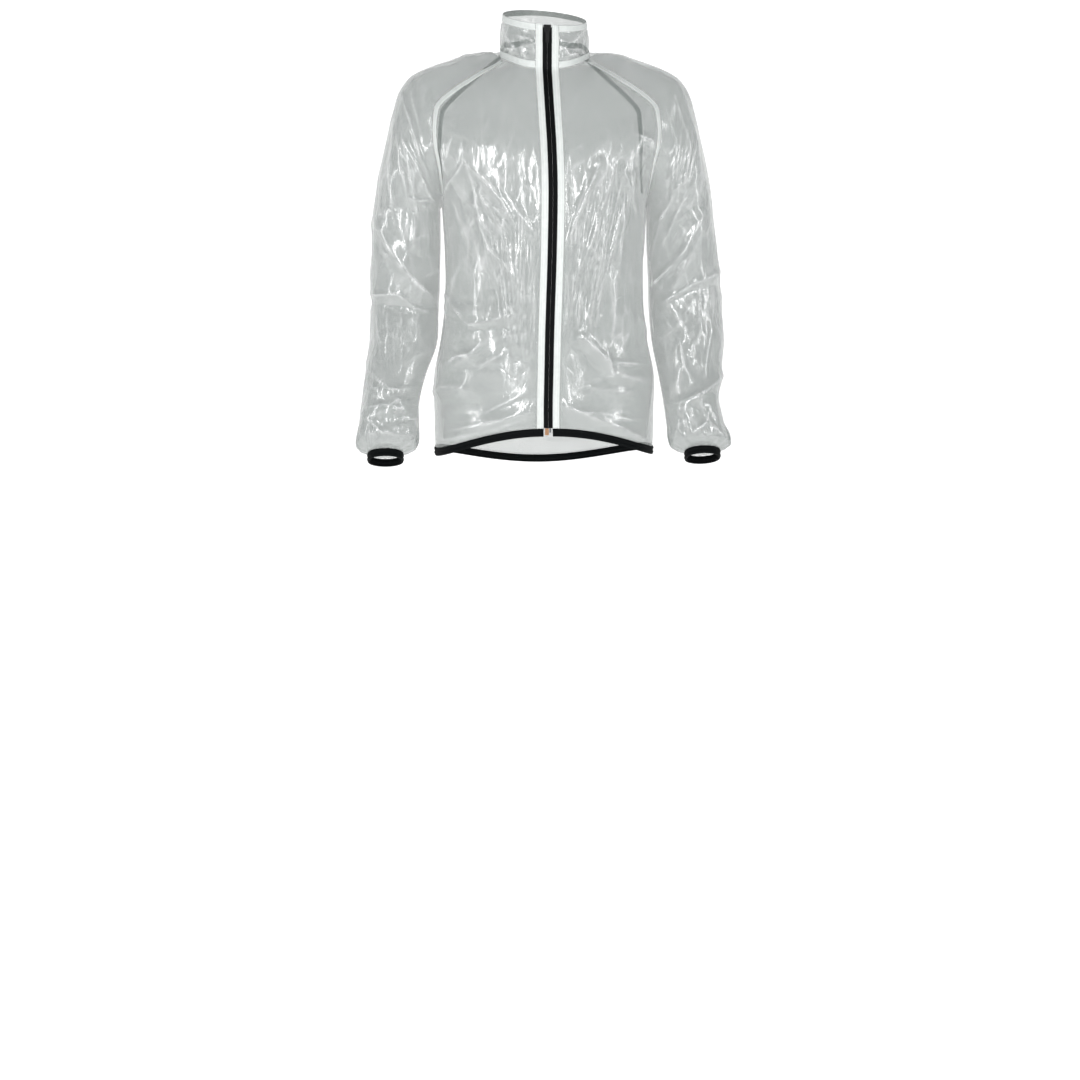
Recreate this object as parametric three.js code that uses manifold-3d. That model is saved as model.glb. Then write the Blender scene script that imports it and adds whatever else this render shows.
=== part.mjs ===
// A clear rain jacket for cycling, hollow and standing in the shape it has when it is worn: two
// fronts, a back with a longer tail, two raglan sleeves and a stand collar, all of thin coated cloth,
// with pale seam tapes, a closed black zip and black elastic bindings at the hem and cuffs.
// Millimetres. +Z is up and the front faces -Y, so the wearer's right is at -X.
// The origin is the middle of the neck opening, at the height where the shoulders carry the jacket.
import * as THREE from "three";
import { mergeVertices } from "three/addons/utils/BufferGeometryUtils.js";
import Module from "manifold-3d";

const wasm = await Module();
wasm.setup();

// Driving sizes of the cloth, the seams and the trims
const CLOTH = 1.2; // wall of the coated cloth
const SEAM_GAP = 0.3; // between two pieces that are sewn together
const TAPE = 0.7; // thickness of a seam tape
const TAPE_FACE = SEAM_GAP + TAPE; // how far a tape's face stands out of the cloth
const RAGLAN_TAPE = 9.5; // from a raglan seam to the far edge of the tape along it
const TAPE_INSET = 2; // how far that tape starts from the seam
const ZIP_BAND = 9.5; // stitched white edge on each side of the zip
const ZIP_HALF = 6.3; // half the width of the zip that shows
const ZIP_TAPE = 1; // thickness of the zip's woven tape
const COIL_HALF = 2.2; // half the width of the zip's coil
const COIL = 1.6; // thickness of the coil, which lies behind the tapes
const BINDING = 12; // height of the elastic binding
const BINDING_INSIDE = -1.5; // its inner face, behind the cloth's outer face
const BINDING_FACE = [0.5, 1.3, 0.3, 1.3, 0.5]; // its outer face, two ridges and a groove
const BINDING_STEPS = [0, 0.25, 0.5, 0.75, 1]; // where those depths lie over its height

// The top edge of the collar, a ring that leans down to the front
const COLLAR_TOP = { halfWidth: 58, halfDepth: 62, y: -11, z: 53.5, lean: 13.5, tilt: 4.5 };
const NECK_MIDDLE = -5; // y of the middle of the neck seam
const COLLAR_SWELL = 2.5; // how far the collar stands out between its two edges

// A table's rows as objects with named columns.
const table = (names, rows) =>
  rows.map((row) => Object.fromEntries(names.map((n, i) => [n, row[i]])));

// Centre lines and side seams. "at" is 0 at the neck, 1 at the underarm and 2 at the edge of the cloth.
const FRONT_LINE = table(["at", "y", "z", "sway"], [
  [0.0, -71, -20, 0],
  [0.2, -87, -52, 1],
  [0.42, -102, -89, 2.5],
  [0.6, -113, -124, 4],
  [0.8, -121, -165, 5],
  [1.0, -124, -205, 5],
  [1.22, -121, -275, 4],
  [1.4, -117, -332, 2.5],
  [1.56, -116, -384, 1],
  [1.72, -117, -434, 0],
  [1.88, -118, -480, -1],
  [2.0, -118, -514.7, -1],
]);
const BACK_LINE = table(["at", "y", "z"], [
  [0.0, 61, 22],
  [0.2, 80, -15],
  [0.42, 97, -60],
  [0.6, 108, -104],
  [0.8, 114, -155],
  [1.0, 112, -214],
  [1.22, 99, -290],
  [1.4, 91, -349],
  [1.56, 92, -411],
  [1.72, 101, -471],
  [1.88, 111, -533],
  [2.0, 116, -588],
]);
const SIDE_LINE = table(["at", "x", "y", "z"], [
  [1.0, -147, 3, -212],
  [1.22, -143.5, 2, -286],
  [1.4, -144, 2, -343],
  [1.56, -151, 2, -400],
  [1.72, -161, 2, -454],
  [1.88, -161, 2, -512],
  [2.0, -160.5, 2, -556.7],
]);

// The raglan seams on the wearer's right. A panel reaches the seam at the angle "arrive" and the
// sleeve goes on at "leave", both in degrees from sideways towards the middle of the garment's depth.
// "rise" is how steeply both climb there, and "hold" is how far the sleeve keeps to it, in mm.
const SEAM = ["at", "x", "y", "z", "arrive", "leave", "rise", "hold"];
const FRONT_SEAM = table(SEAM, [
  [0.0, -59.4, -24, -5, 66, 66, 0.2, 11],
  [0.2, -104, -51, -28, 46, 46, 0.42, 25],
  [0.42, -154.5, -61, -65, 40, 40, 0.33, 34],
  [0.5, -160, -68, -92, 48, 30, 0.15, 39],
  [0.6, -158.5, -70, -122, 58, 6, 0.05, 45],
  [0.7, -153, -61, -148, 68, -20, 0, 52],
  [0.84, -147.5, -36, -184, 80, -58, 0, 64],
  [1.0, -147, 3, -212, 90, -90, 0, 80],
]);
const BACK_SEAM = table(SEAM, [
  [0.0, -50, 34, 13, 52, 52, 0.1, 12],
  [0.2, -95, 62, -21, 40, 40, 0.42, 26],
  [0.42, -146, 76, -68, 40, 40, 0.35, 36],
  [0.5, -151, 82, -94, 48, 28, 0.15, 42],
  [0.6, -152, 82, -124, 58, 6, 0.05, 46],
  [0.7, -150, 70, -150, 68, -20, 0, 53],
  [0.84, -147, 42, -185, 80, -58, 0, 66],
  [1.0, -147, 3, -212, 90, -90, 0, 80],
]);
const SHOULDER_LINE = table(["at", "x", "y", "z"], [
  [0.0, -62, -5, 1],
  [0.05, -77, -2, 6],
  [0.2, -125, 2, -1],
  [0.42, -187, 4, -26],
  [0.5, -205, 5, -46],
  [0.6, -216, 6, -77],
  [0.7, -224, 7, -110],
  [0.84, -236, 8, -163],
  [1.0, -244, 8, -213],
]);

// The sleeves below the underarm, as rings square to the arm, each on its own side of the body.
// "tilt" turns a ring's front up, in degrees.
const RING = ["at", "x", "y", "z", "halfWidth", "halfDepth", "tilt"];
const ARM = {
  right: table(RING, [
    [1.0, -196.1, 5.5, -212.5, 47.4, 60, 0],
    [1.15, -198.5, 8, -262, 49.5, 60, 0],
    [1.32, -201, 12, -318, 50.5, 58, 2],
    [1.46, -202.5, 10, -362, 49.5, 56, 10],
    [1.6, -205, -4, -405, 49, 54, 19],
    [1.74, -216.5, -23, -449, 43.5, 50, 24],
    [1.86, -224.5, -42, -490, 41.5, 47, 25],
    [1.93, -227, -54, -518, 44, 46.5, 25],
    [1.975, -230, -66, -547, 44, 43, 25],
    [2.0, -232, -69.5, -556, 25.5, 28.5, 25],
  ]),
  left: table(RING, [
    [1.0, 196.1, 5.5, -212.5, 47.4, 60, 0],
    [1.15, 200, 8, -262, 50.5, 60, 0],
    [1.32, 206, 12, -318, 53, 58, 2],
    [1.46, 208, 10, -362, 53.5, 56, 10],
    [1.6, 211, -4, -405, 53, 54, 19],
    [1.74, 211.5, -23, -449, 45.5, 50, 24],
    [1.86, 212, -42, -490, 40, 47, 25],
    [1.93, 216.5, -54, -518, 41.5, 46.5, 25],
    [1.975, 223.5, -66, -547, 44.5, 43, 25],
    [2.0, 225.5, -69.5, -556, 25.5, 28.5, 25],
  ]),
};

// The largest folds: soft ridges, or troughs where "rise" is negative, each along a line seen from
// the front or the back. They fade out towards their ends and at the edges of their piece.
const FOLDS = table(["piece", "x1", "z1", "x2", "z2", "rise", "width"], [
  ["front_right", -146, -128, -112, -200, 5, 13],
  ["front_right", -112, -135, -66, -208, 4, 12],
  ["front_right", -130, -205, -84, -160, -3, 12],
  ["front_right", -52, -180, -30, -400, 5, 13],
  ["front_right", -108, -235, -70, -380, -4, 14],
  ["front_right", -146, -352, -60, -356, 4, 12],
  ["front_right", -150, -440, -90, -404, 4, 12],
  ["front_right", -152, -470, -110, -462, 5, 14],
  ["front_right", -150, -540, -16, -480, 4, 13],
  ["front_left", 30, -150, 50, -375, -4, 11],
  ["front_left", 70, -150, 58, -375, 4, 12],
  ["front_left", 102, -165, 90, -378, 4, 12],
  ["front_left", 50, -388, 92, -438, 5, 12],
  ["front_left", 92, -438, 144, -456, 4, 12],
  ["front_left", 18, -480, 138, -542, 4, 13],
  ["back", -130, -140, -60, -190, 4, 15],
  ["back", 130, -140, 66, -196, 4, 15],
  ["back", -60, -190, -44, -380, -3, 15],
  ["back", 52, -200, 68, -400, 3, 15],
  ["back", -140, -400, -40, -440, 4, 15],
  ["back", 140, -396, 30, -450, 4, 15],
  ["back", -130, -520, 10, -500, 3, 15],
  ["sleeve_right", -240, -232, -160, -352, 5, 13],
  ["sleeve_right", -252, -347, -176, -350, -5, 11],
  ["sleeve_right", -244, -430, -207, -486, 5, 12],
  ["sleeve_right", -207, -486, -256, -500, 5, 11],
  ["sleeve_right", -258, -524, -196, -512, 4, 10],
  ["sleeve_right", -190, -70, -228, -236, 4, 14],
  ["sleeve_left", 223, -234, 164, -380, 5, 13],
  ["sleeve_left", 256, -322, 190, -330, -5, 11],
  ["sleeve_left", 177, -341, 212, -404, 4, 11],
  ["sleeve_left", 254, -452, 190, -494, 6, 12],
  ["sleeve_left", 206, -488, 250, -520, -4, 10],
  ["sleeve_left", 190, -66, 225, -236, 4, 14],
]);
const BACK_OF_SLEEVE = 0.7; // the share of a sleeve's folds that its far side has too
const FOLD_END = 0.1; // how far into its taper a fold starts and ends, as a share of it

// The gathers that an elastic cuff draws up
const GATHERS = 16;
const GATHER_DEPTH = 2;

// Where the rows of points lie, with the same list on both sides of a raglan seam, and how many
// columns there are
const RAGLAN_ROWS = [0, 0.012, 0.1, 0.19, 0.29, 0.38, 0.46, 0.54, 0.64, 0.75, 0.88, 1];
const BODY_ROWS = [1.1, 1.2, 1.3, 1.4, 1.5, 1.6, 1.7, 1.8, 1.9, 2];
const ARM_ROWS = [1.09, 1.19, 1.28, 1.37, 1.46, 1.54, 1.61, 1.68, 1.75, 1.82, 1.88, 1.93];
const GATHER_ROWS = [1.955, 1.975, 1.99, 2];
const GATHER_SHARE = [0.35, 0.8, 1, 0.6]; // how deep the gathers are on each of those rows
const COLLAR_ROWS = [0, 0.025, 0.19, 0.42, 0.64, 0.83, 1];
const FRONT_COLUMNS = 13;
const BACK_HALF_COLUMNS = 9;
const SLEEVE_HALF_COLUMNS = 12;
const COLLAR_COLUMNS = 30;

// Smooth value of one column of a table at a place, by a cubic through the rows round it.
function smooth(rows, name, at) {
  let i = rows.findIndex((row) => row.at > at) - 1;
  if (i < 0) i = at <= rows[0].at ? 0 : rows.length - 2;
  const slope = (k) => {
    const before = rows[Math.max(k - 1, 0)];
    const after = rows[Math.min(k + 1, rows.length - 1)];
    return (after[name] - before[name]) / (after.at - before.at);
  };
  const [a, b] = [rows[i], rows[i + 1]];
  const span = b.at - a.at;
  const t = (at - a.at) / span;
  const bend = slope(i) * span * (1 - t) - slope(i + 1) * span * t;
  const step = (b[name] - a[name]) * t * t * (3 - 2 * t);
  return a[name] + step + t * (1 - t) * bend;
}
const place = (rows, at) => new THREE.Vector3(...["x", "y", "z"].map((n) => smooth(rows, n, at)));
const radians = THREE.MathUtils.degToRad;
const evenly = (from, to, count) =>
  Array.from({ length: count + 1 }, (_, i) => from + ((to - from) * i) / count);

// Points along a curve at the given distances from its start.
function stations(curve, distances) {
  const length = curve.getLength();
  return distances.map((d) => curve.getPointAt(THREE.MathUtils.clamp(d / length, 0, 1)));
}

// How far a cubic's handles reach, so that a curve that turns by an angle over a chord is round.
const reachOf = (chord, turn) => ((2 / 3) * chord * Math.tan(turn / 4)) / Math.sin(turn / 2);

// One rib of a front or back on the wearer's right, from the centre line to the seam.
// "facing" is -1 on the front and 1 on the back.
const BODY_FULLNESS = 1.1; // over 1 is squarer than an ellipse
function bodyRib(centre, seamTable, facing, at) {
  const under = at >= 1;
  const end = under ? place(SIDE_LINE, at) : place(seamTable, at);
  const turn = under ? Math.PI / 2 : radians(smooth(seamTable, "arrive", at));
  const rise = under ? 0 : smooth(seamTable, "rise", at);
  const heading = new THREE.Vector3(-Math.cos(turn), -facing * Math.sin(turn), rise);
  const reach = reachOf(centre.distanceTo(end), turn) * BODY_FULLNESS;
  const level = centre.clone().add(new THREE.Vector3(-reach, 0, 0));
  return new THREE.CubicBezierCurve3(centre, level, end.clone().addScaledVector(heading, -reach), end);
}

// The front and back halves of one rib of a sleeve, both from the seam to the shoulder line.
// "side" is -1 on the wearer's right and 1 on the left, and the seam tables are turned with it.
function sleeveRib(arm, side, at) {
  if (at >= 1) {
    const centre = place(arm, at);
    const tilt = radians(smooth(arm, "tilt", at));
    const half = new THREE.Vector3(-side * smooth(arm, "halfWidth", at), 0, 0);
    const reach = (4 / 3) * smooth(arm, "halfDepth", at);
    return [-1, 1].map((facing) => {
      const out = new THREE.Vector3(0, facing * Math.cos(tilt), -facing * Math.sin(tilt));
      const ends = [centre.clone().add(half), centre.clone().sub(half)];
      const handles = ends.map((e) => e.clone().addScaledVector(out, reach));
      return new THREE.CubicBezierCurve3(ends[0], ...handles, ends[1]);
    });
  }
  const turned = new THREE.Vector3(-side, 1, 1);
  const top = place(SHOULDER_LINE, at).multiply(turned);
  return [[FRONT_SEAM, -1], [BACK_SEAM, 1]].map(([seamTable, facing]) => {
    const start = place(seamTable, at).multiply(turned);
    const leave = radians(smooth(seamTable, "leave", at));
    const rise = smooth(seamTable, "rise", at);
    const heading = new THREE.Vector3(side * Math.cos(leave), -facing * Math.sin(leave), rise);
    const hold = smooth(seamTable, "hold", at);
    const near = start.clone().addScaledVector(heading, hold);
    const far = top.clone().add(new THREE.Vector3(0, facing * hold, 0));
    return new THREE.CubicBezierCurve3(start, near, far, top);
  });
}

// Triangles between two rows of points. The lower row may have twice as many columns.
function band(upper, lower) {
  const doubled = lower.length > upper.length;
  const faces = [];
  for (let j = 0; j + 1 < upper.length; j++) {
    const [a, b] = [upper[j], upper[j + 1]];
    if (doubled) {
      const [c, d, e] = [lower[2 * j], lower[2 * j + 1], lower[2 * j + 2]];
      faces.push([a, b, d], [a, d, c], [b, e, d]);
    } else {
      faces.push([a, b, lower[j]], [b, lower[j + 1], lower[j]]);
    }
  }
  return faces;
}
const trianglesOf = (rows) => rows.slice(1).flatMap((row, i) => band(rows[i], row));

// Gives each point of a sheet its outward normal. Rows run from the wearer's left to the right
// across the front, and from the right to the left across the back, so that the triangles face out.
function addNormals(rows) {
  rows.flat().forEach((p) => (p.normal = new THREE.Vector3()));
  const [ab, ac] = [new THREE.Vector3(), new THREE.Vector3()];
  for (const [a, b, c] of trianglesOf(rows)) {
    const cross = ab.subVectors(b, a).cross(ac.subVectors(c, a));
    [a, b, c].forEach((p) => p.normal.add(cross));
  }
  rows.flat().forEach((p) => p.normal.normalize());
  return rows;
}

// A closed wall between two offsets from a sheet, each a number or a list with one for each row.
function wall(rows, near, far) {
  const offset = (list, i) => (Array.isArray(list) ? list[i] : list);
  const ids = new Map();
  const outer = [];
  const inner = [];
  rows.forEach((row, i) =>
    row.forEach((p) => {
      if (ids.has(p)) return;
      ids.set(p, outer.length);
      outer.push(p.clone().addScaledVector(p.normal, offset(far, i)));
      inner.push(p.clone().addScaledVector(p.normal, offset(near, i)));
    }),
  );
  const count = outer.length;
  const faces = trianglesOf(rows).map((face) => face.map((p) => ids.get(p)));
  const edges = new Map();
  for (const [a, b, c] of faces) {
    for (const [s, e] of [[a, b], [b, c], [c, a]]) {
      if (!edges.delete(e + "," + s)) edges.set(s + "," + e, [s, e]);
    }
  }
  const inside = faces.map(([a, b, c]) => [a + count, c + count, b + count]);
  const rim = [...edges.values()].flatMap(([s, e]) => [[e, s, s + count], [e, s + count, e + count]]);
  const geometry = new THREE.BufferGeometry().setFromPoints([...outer, ...inner]);
  geometry.setIndex([...faces, ...inside, ...rim].flat());
  geometry.computeVertexNormals();
  return geometry;
}

// How much of a fold a point has, from its place beside the fold's line.
function foldHeight(fold, p) {
  const [dx, dz] = [fold.x2 - fold.x1, fold.z2 - fold.z1];
  const length = Math.hypot(dx, dz);
  const along = ((p.x - fold.x1) * dx + (p.z - fold.z1) * dz) / length;
  const beside = ((p.x - fold.x1) * dz - (p.z - fold.z1) * dx) / length;
  const t = THREE.MathUtils.clamp(along / length, 0, 1);
  const past = along - t * length;
  const taper = Math.sqrt(Math.sin(Math.PI * (FOLD_END + (1 - 2 * FOLD_END) * t)));
  return fold.rise * taper * Math.exp(-(beside ** 2 + past ** 2) / fold.width ** 2);
}

// Raises a piece's folds on its points. Its first and last columns and rows stay where they are
// sewn, and the underarm keeps clear of the side of the body.
function crease(rows, piece) {
  const folds = FOLDS.filter((fold) => fold.piece === piece);
  const sleeve = piece.startsWith("sleeve");
  addNormals(rows);
  const moves = new Map();
  rows.slice(1, -1).forEach((row) =>
    row.forEach((p, j) => {
      const sewn = j < 2 || j > row.length - 3;
      if (sewn) return;
      const far = sleeve ? THREE.MathUtils.lerp(BACK_OF_SLEEVE, 1, (1 - p.normal.y) / 2) : 1;
      const height = folds.reduce((sum, fold) => sum + foldHeight(fold, p), 0);
      moves.set(p, height * far);
    }),
  );
  moves.forEach((height, p) => p.addScaledVector(p.normal, height));
  return addNormals(rows);
}

// The same sheet on the wearer's other side.
const mirrored = (rows) => rows.map((row) => row.map((p) => new THREE.Vector3(-p.x, p.y, p.z)).reverse());

const TORSO_ROWS = [...RAGLAN_ROWS, ...BODY_ROWS];

// One front, from the zip to the raglan and side seams, worked out on the wearer's right.
// "side" is the way in which the zip's sway goes: 1 on the right, -1 for the left front.
function frontSheet(side) {
  return TORSO_ROWS.map((at) => {
    const edge = side * smooth(FRONT_LINE, "sway", at) - ZIP_HALF - SEAM_GAP;
    const centre = new THREE.Vector3(edge, smooth(FRONT_LINE, "y", at), smooth(FRONT_LINE, "z", at));
    const curve = bodyRib(centre, FRONT_SEAM, -1, at);
    const end = curve.getLength() - SEAM_GAP / 2;
    return stations(curve, [0, ...evenly(ZIP_BAND, end - RAGLAN_TAPE, FRONT_COLUMNS - 2), end]);
  });
}

// The back, from the right seams round to the left seams.
function backSheet() {
  return TORSO_ROWS.map((at) => {
    const centre = new THREE.Vector3(0, smooth(BACK_LINE, "y", at), smooth(BACK_LINE, "z", at));
    const curve = bodyRib(centre, BACK_SEAM, 1, at);
    const end = curve.getLength() - SEAM_GAP / 2;
    const half = stations(curve, [...evenly(0, end - RAGLAN_TAPE, BACK_HALF_COLUMNS - 1), end]);
    const [other] = mirrored([half.slice(1)]);
    return [...half.reverse(), ...other.reverse()];
  });
}

// One sleeve, from the front seam over the shoulder to the back seam. From the underarm down it is
// a tube, whose last column is its first, and it ends in gathers.
function sleeveSheet(arm, side) {
  return [...RAGLAN_ROWS, ...ARM_ROWS, ...GATHER_ROWS].map((at) => {
    const closed = at >= 1;
    const gathered = GATHER_ROWS.indexOf(at);
    const columns = SLEEVE_HALF_COLUMNS * (gathered < 0 ? 1 : 2);
    const [front, back] = sleeveRib(arm, side, at).map((curve) => {
      const start = closed ? 0 : SEAM_GAP / 2;
      return stations(curve, evenly(start, curve.getLength(), columns));
    });
    const row = [...front, ...back.reverse().slice(1)];
    if (closed) row[row.length - 1] = row[0];
    if (gathered >= 0) {
      const centre = place(arm, at);
      row.slice(0, -1).forEach((p, j) => {
        const wave = Math.cos((j * 2 * Math.PI * GATHERS) / (4 * SLEEVE_HALF_COLUMNS));
        const out = p.clone().sub(centre).normalize();
        p.addScaledVector(out, GATHER_DEPTH * GATHER_SHARE[gathered] * (wave - 1));
      });
    }
    return side < 0 ? row : row.reverse();
  });
}

// The collar, from the zip round the neck and back to the zip, on the panels' neck edges.
const EDGE_STEPS = 20; // between two points of the neck edge, where its length is measured
function collarSheet(neckEdges) {
  const low = new THREE.CatmullRomCurve3(neckEdges, false, "centripetal");
  low.arcLengthDivisions = EDGE_STEPS * neckEdges.length;
  const length = low.getLength();
  const feet = stations(low, [0, ...evenly(ZIP_BAND, length - ZIP_BAND, COLLAR_COLUMNS - 2), length]);
  return COLLAR_ROWS.toReversed().map((share) =>
    feet.map((foot, j) => {
      const angle = Math.atan2(-foot.x, NECK_MIDDLE - foot.y);
      const out = new THREE.Vector3(-Math.sin(angle), -Math.cos(angle), 0);
      const edge = j === 0 || j === feet.length - 1;
      const top = new THREE.Vector3(
        edge ? foot.x : -COLLAR_TOP.halfWidth * Math.sin(angle),
        COLLAR_TOP.y - COLLAR_TOP.halfDepth * Math.cos(angle),
        COLLAR_TOP.z - COLLAR_TOP.lean * Math.cos(angle) + COLLAR_TOP.tilt * Math.sin(angle),
      );
      const swell = COLLAR_SWELL * Math.sin(Math.PI * share) * Math.sin(angle / 2) ** 2;
      const start = foot.clone().add(new THREE.Vector3(0, 0, SEAM_GAP));
      return start.lerp(top, share).addScaledVector(out, swell);
    }),
  );
}

const front = { right: frontSheet(1), left: mirrored(frontSheet(-1)) };
const back = backSheet();
const sleeve = { right: sleeveSheet(ARM.right, -1), left: sleeveSheet(ARM.left, 1) };
crease(front.right, "front_right");
crease(front.left, "front_left");
crease(back, "back");
crease(sleeve.right, "sleeve_right");
crease(sleeve.left, "sleeve_left");
const neckEdges = [front.right, sleeve.right, back, sleeve.left, front.left].flatMap((rows) => rows[0]);
const collar = addNormals(collarSheet(neckEdges));

// Part of a sheet, with both ends of the ranges counted in.
const cut = (rows, [firstRow, lastRow], [firstColumn, lastColumn]) =>
  rows.slice(firstRow, lastRow + 1).map((row) => row.slice(firstColumn, lastColumn + 1));

// A point a little way from one point of a sheet to the next, with its normal.
function between(p, q, distance) {
  const share = distance / p.distanceTo(q);
  const point = p.clone().lerp(q, share);
  point.normal = p.normal.clone().lerp(q.normal, share).normalize();
  return point;
}
// Pulls a strip's first and last columns in by two distances, clear of what lies beside it.
const drawnIn = (rows, atStart, atEnd) =>
  rows.map((row) => {
    const last = row.length - 1;
    const first = between(row[0], row[1], atStart);
    return [first, ...row.slice(1, last), between(row[last], row[last - 1], atEnd)];
  });

// A point below another, with the same normal made level across the given direction.
function below(p, direction, distance) {
  const point = p.clone().addScaledVector(direction, distance);
  point.normal = p.normal.clone().addScaledVector(direction, -p.normal.dot(direction)).normalize();
  return point;
}
const bindingRows = (edge, direction) =>
  BINDING_STEPS.map((share) => {
    const made = new Map(edge.map((p) => [p, below(p, direction, SEAM_GAP + share * (BINDING - SEAM_GAP))]));
    return edge.map((p) => made.get(p));
  });

// The upper and lower part of a sleeve, a seam's gap apart above the elbow.
const ELBOW_ROW = RAGLAN_ROWS.length + 3; // of a sleeve's rows, the one where its upper part ends
function sleeveParts(rows) {
  const [end, next] = [rows[ELBOW_ROW], rows[ELBOW_ROW + 1]];
  const start = new Map(end.map((p, j) => [p, between(p, next[j], SEAM_GAP)]));
  return [rows.slice(0, ELBOW_ROW + 1), [end.map((p) => start.get(p)), ...rows.slice(ELBOW_ROW + 1)]];
}

// The zip's own sheet, between the two fronts and up the collar.
const collarEnds = collar.map((row) => [row[0], row.at(-1)]);
const frontEnds = front.right.slice(1).map((row, i) => [row[0], front.left[i + 1].at(-1)]);
const ZIP_STOP = 3.5; // how far the tapes end below the top of the collar
const zipEnds = [...collarEnds.slice(0, -1), ...frontEnds].map(([p, q]) => [p.clone(), q.clone()]);
zipEnds[0].forEach((p, i) => {
  const next = zipEnds[1][i];
  p.lerp(next, ZIP_STOP / p.distanceTo(next));
});
const zipSheet = (right, left) =>
  zipEnds.map(([p, q]) => {
    const middle = p.clone().lerp(q, 0.5);
    return [left, right].map((x) => new THREE.Vector3(middle.x + x, middle.y, middle.z));
  });

// The edge of a cuff, a smooth ring just past the gathers.
const CUFF_COLUMNS = 12; // in each half of the ring
const CUFF_FIT = 0.5; // how far the ring is inside the ends of the gathers
function cuffEdge(arm, side) {
  const [near, far] = sleeveRib(arm, side, 2).map((curve) =>
    stations(curve, evenly(0, curve.getLength(), CUFF_COLUMNS)),
  );
  const row = [...near, ...far.reverse().slice(1, -1)];
  const centre = place(arm, 2);
  row.forEach((p) => {
    const out = p.clone().sub(centre).normalize();
    p.addScaledVector(out, -CUFF_FIT);
    p.normal = out;
  });
  if (side > 0) row.reverse();
  return [...row, row[0]];
}
const WRIST = 1.86; // from there on a sleeve is straight
const armDirection = (arm) => place(arm, 2).sub(place(arm, WRIST)).setX(0).normalize();

// Colours and finishes
const finish = (color, roughness, more = {}) =>
  new THREE.MeshStandardMaterial({ color, roughness, metalness: 0, ...more });
const film = () => finish(0xd5dad7, 0.3, { transparent: true, opacity: 0.55 });
const tapeWhite = () => finish(0xeef0ee, 0.5);
const black = () => finish(0x15181a, 0.75);
const hardBlack = () => finish(0x121315, 0.35);
const brass = () => finish(0xc79a78, 0.3, { metalness: 1 });
const steel = () => finish(0x77787a, 0.35, { metalness: 1 });

const jacket = new THREE.Group();
function add(name, geometry, material) {
  const mesh = new THREE.Mesh(geometry, material);
  mesh.name = name;
  jacket.add(mesh);
  return mesh;
}
const lastRow = TORSO_ROWS.length - 1;
const collarTopRow = 1; // the turned hem ends on this row, counted from the top
const collarFootRow = COLLAR_ROWS.length - 2; // the neck tape starts just above the seam

// Cloth panels
add("front_right", wall(front.right, -CLOTH, 0), film());
add("front_left", wall(front.left, -CLOTH, 0), film());
add("back", wall(back, -CLOTH, 0), film());
for (const name of ["right", "left"]) {
  const [upper, lower] = sleeveParts(sleeve[name]);
  add("sleeve_upper_" + name, wall(upper, -CLOTH, 0), film());
  add("sleeve_lower_" + name, wall(lower, -CLOTH, 0), film());
}
add("collar", wall(collar, -CLOTH, 0), film());

// Tapes along the raglan seams, on the fronts' and the back's last columns
const fullBack = 2 * BACK_HALF_COLUMNS;
const raglanRows = [1, RAGLAN_ROWS.length - 2];
const lastColumns = [FRONT_COLUMNS - 1, FRONT_COLUMNS];
const RAGLAN_TAPES = {
  raglan_tape_front_right: drawnIn(cut(front.right, raglanRows, lastColumns), 0, TAPE_INSET),
  raglan_tape_front_left: drawnIn(cut(front.left, raglanRows, [0, 1]), TAPE_INSET, 0),
  raglan_tape_back_right: drawnIn(cut(back, raglanRows, [0, 1]), TAPE_INSET, 0),
  raglan_tape_back_left: drawnIn(cut(back, raglanRows, [fullBack - 1, fullBack]), 0, TAPE_INSET),
};
for (const [name, strip] of Object.entries(RAGLAN_TAPES)) {
  add(name, wall(strip, SEAM_GAP, TAPE_FACE), tapeWhite());
}

// Tape at the foot of the collar and the turned hem at its top
const collarSpan = [1, COLLAR_COLUMNS - 1];
const neckStrip = drawnIn(cut(collar, [collarFootRow - 1, collarFootRow], collarSpan), SEAM_GAP, SEAM_GAP);
const hemStrip = drawnIn(cut(collar, [0, collarTopRow], collarSpan), SEAM_GAP, SEAM_GAP);
add("neck_tape", wall(neckStrip, SEAM_GAP, TAPE_FACE), tapeWhite());
add("collar_hem", wall(hemStrip, SEAM_GAP, TAPE_FACE), tapeWhite());

// White stitched edges of the fronts, which run up the collar too
const collarRows = [0, collarFootRow];
const rightBand = [...cut(collar, collarRows, [0, 1]), ...cut(front.right, [1, lastRow], [0, 1])];
const leftBand = [
  ...cut(collar, collarRows, [COLLAR_COLUMNS - 1, COLLAR_COLUMNS]),
  ...cut(front.left, [1, lastRow], [FRONT_COLUMNS - 1, FRONT_COLUMNS]),
];
add("zip_band_right", wall(drawnIn(rightBand, 0, SEAM_GAP), SEAM_GAP, TAPE_FACE), tapeWhite());
add("zip_band_left", wall(drawnIn(leftBand, SEAM_GAP, 0), SEAM_GAP, TAPE_FACE), tapeWhite());

// Zip tapes, which meet in the middle, and the coil behind them
const TAPE_MEETING = SEAM_GAP / 2;
add("zip_tape_right", wall(addNormals(zipSheet(-ZIP_HALF, -TAPE_MEETING)), -ZIP_TAPE, 0), black());
add("zip_tape_left", wall(addNormals(zipSheet(TAPE_MEETING, ZIP_HALF)), -ZIP_TAPE, 0), black());
const coilFace = -ZIP_TAPE - SEAM_GAP;
add("zip_coil", wall(addNormals(zipSheet(-COIL_HALF, COIL_HALF)), coilFace - COIL, coilFace), hardBlack());

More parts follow.
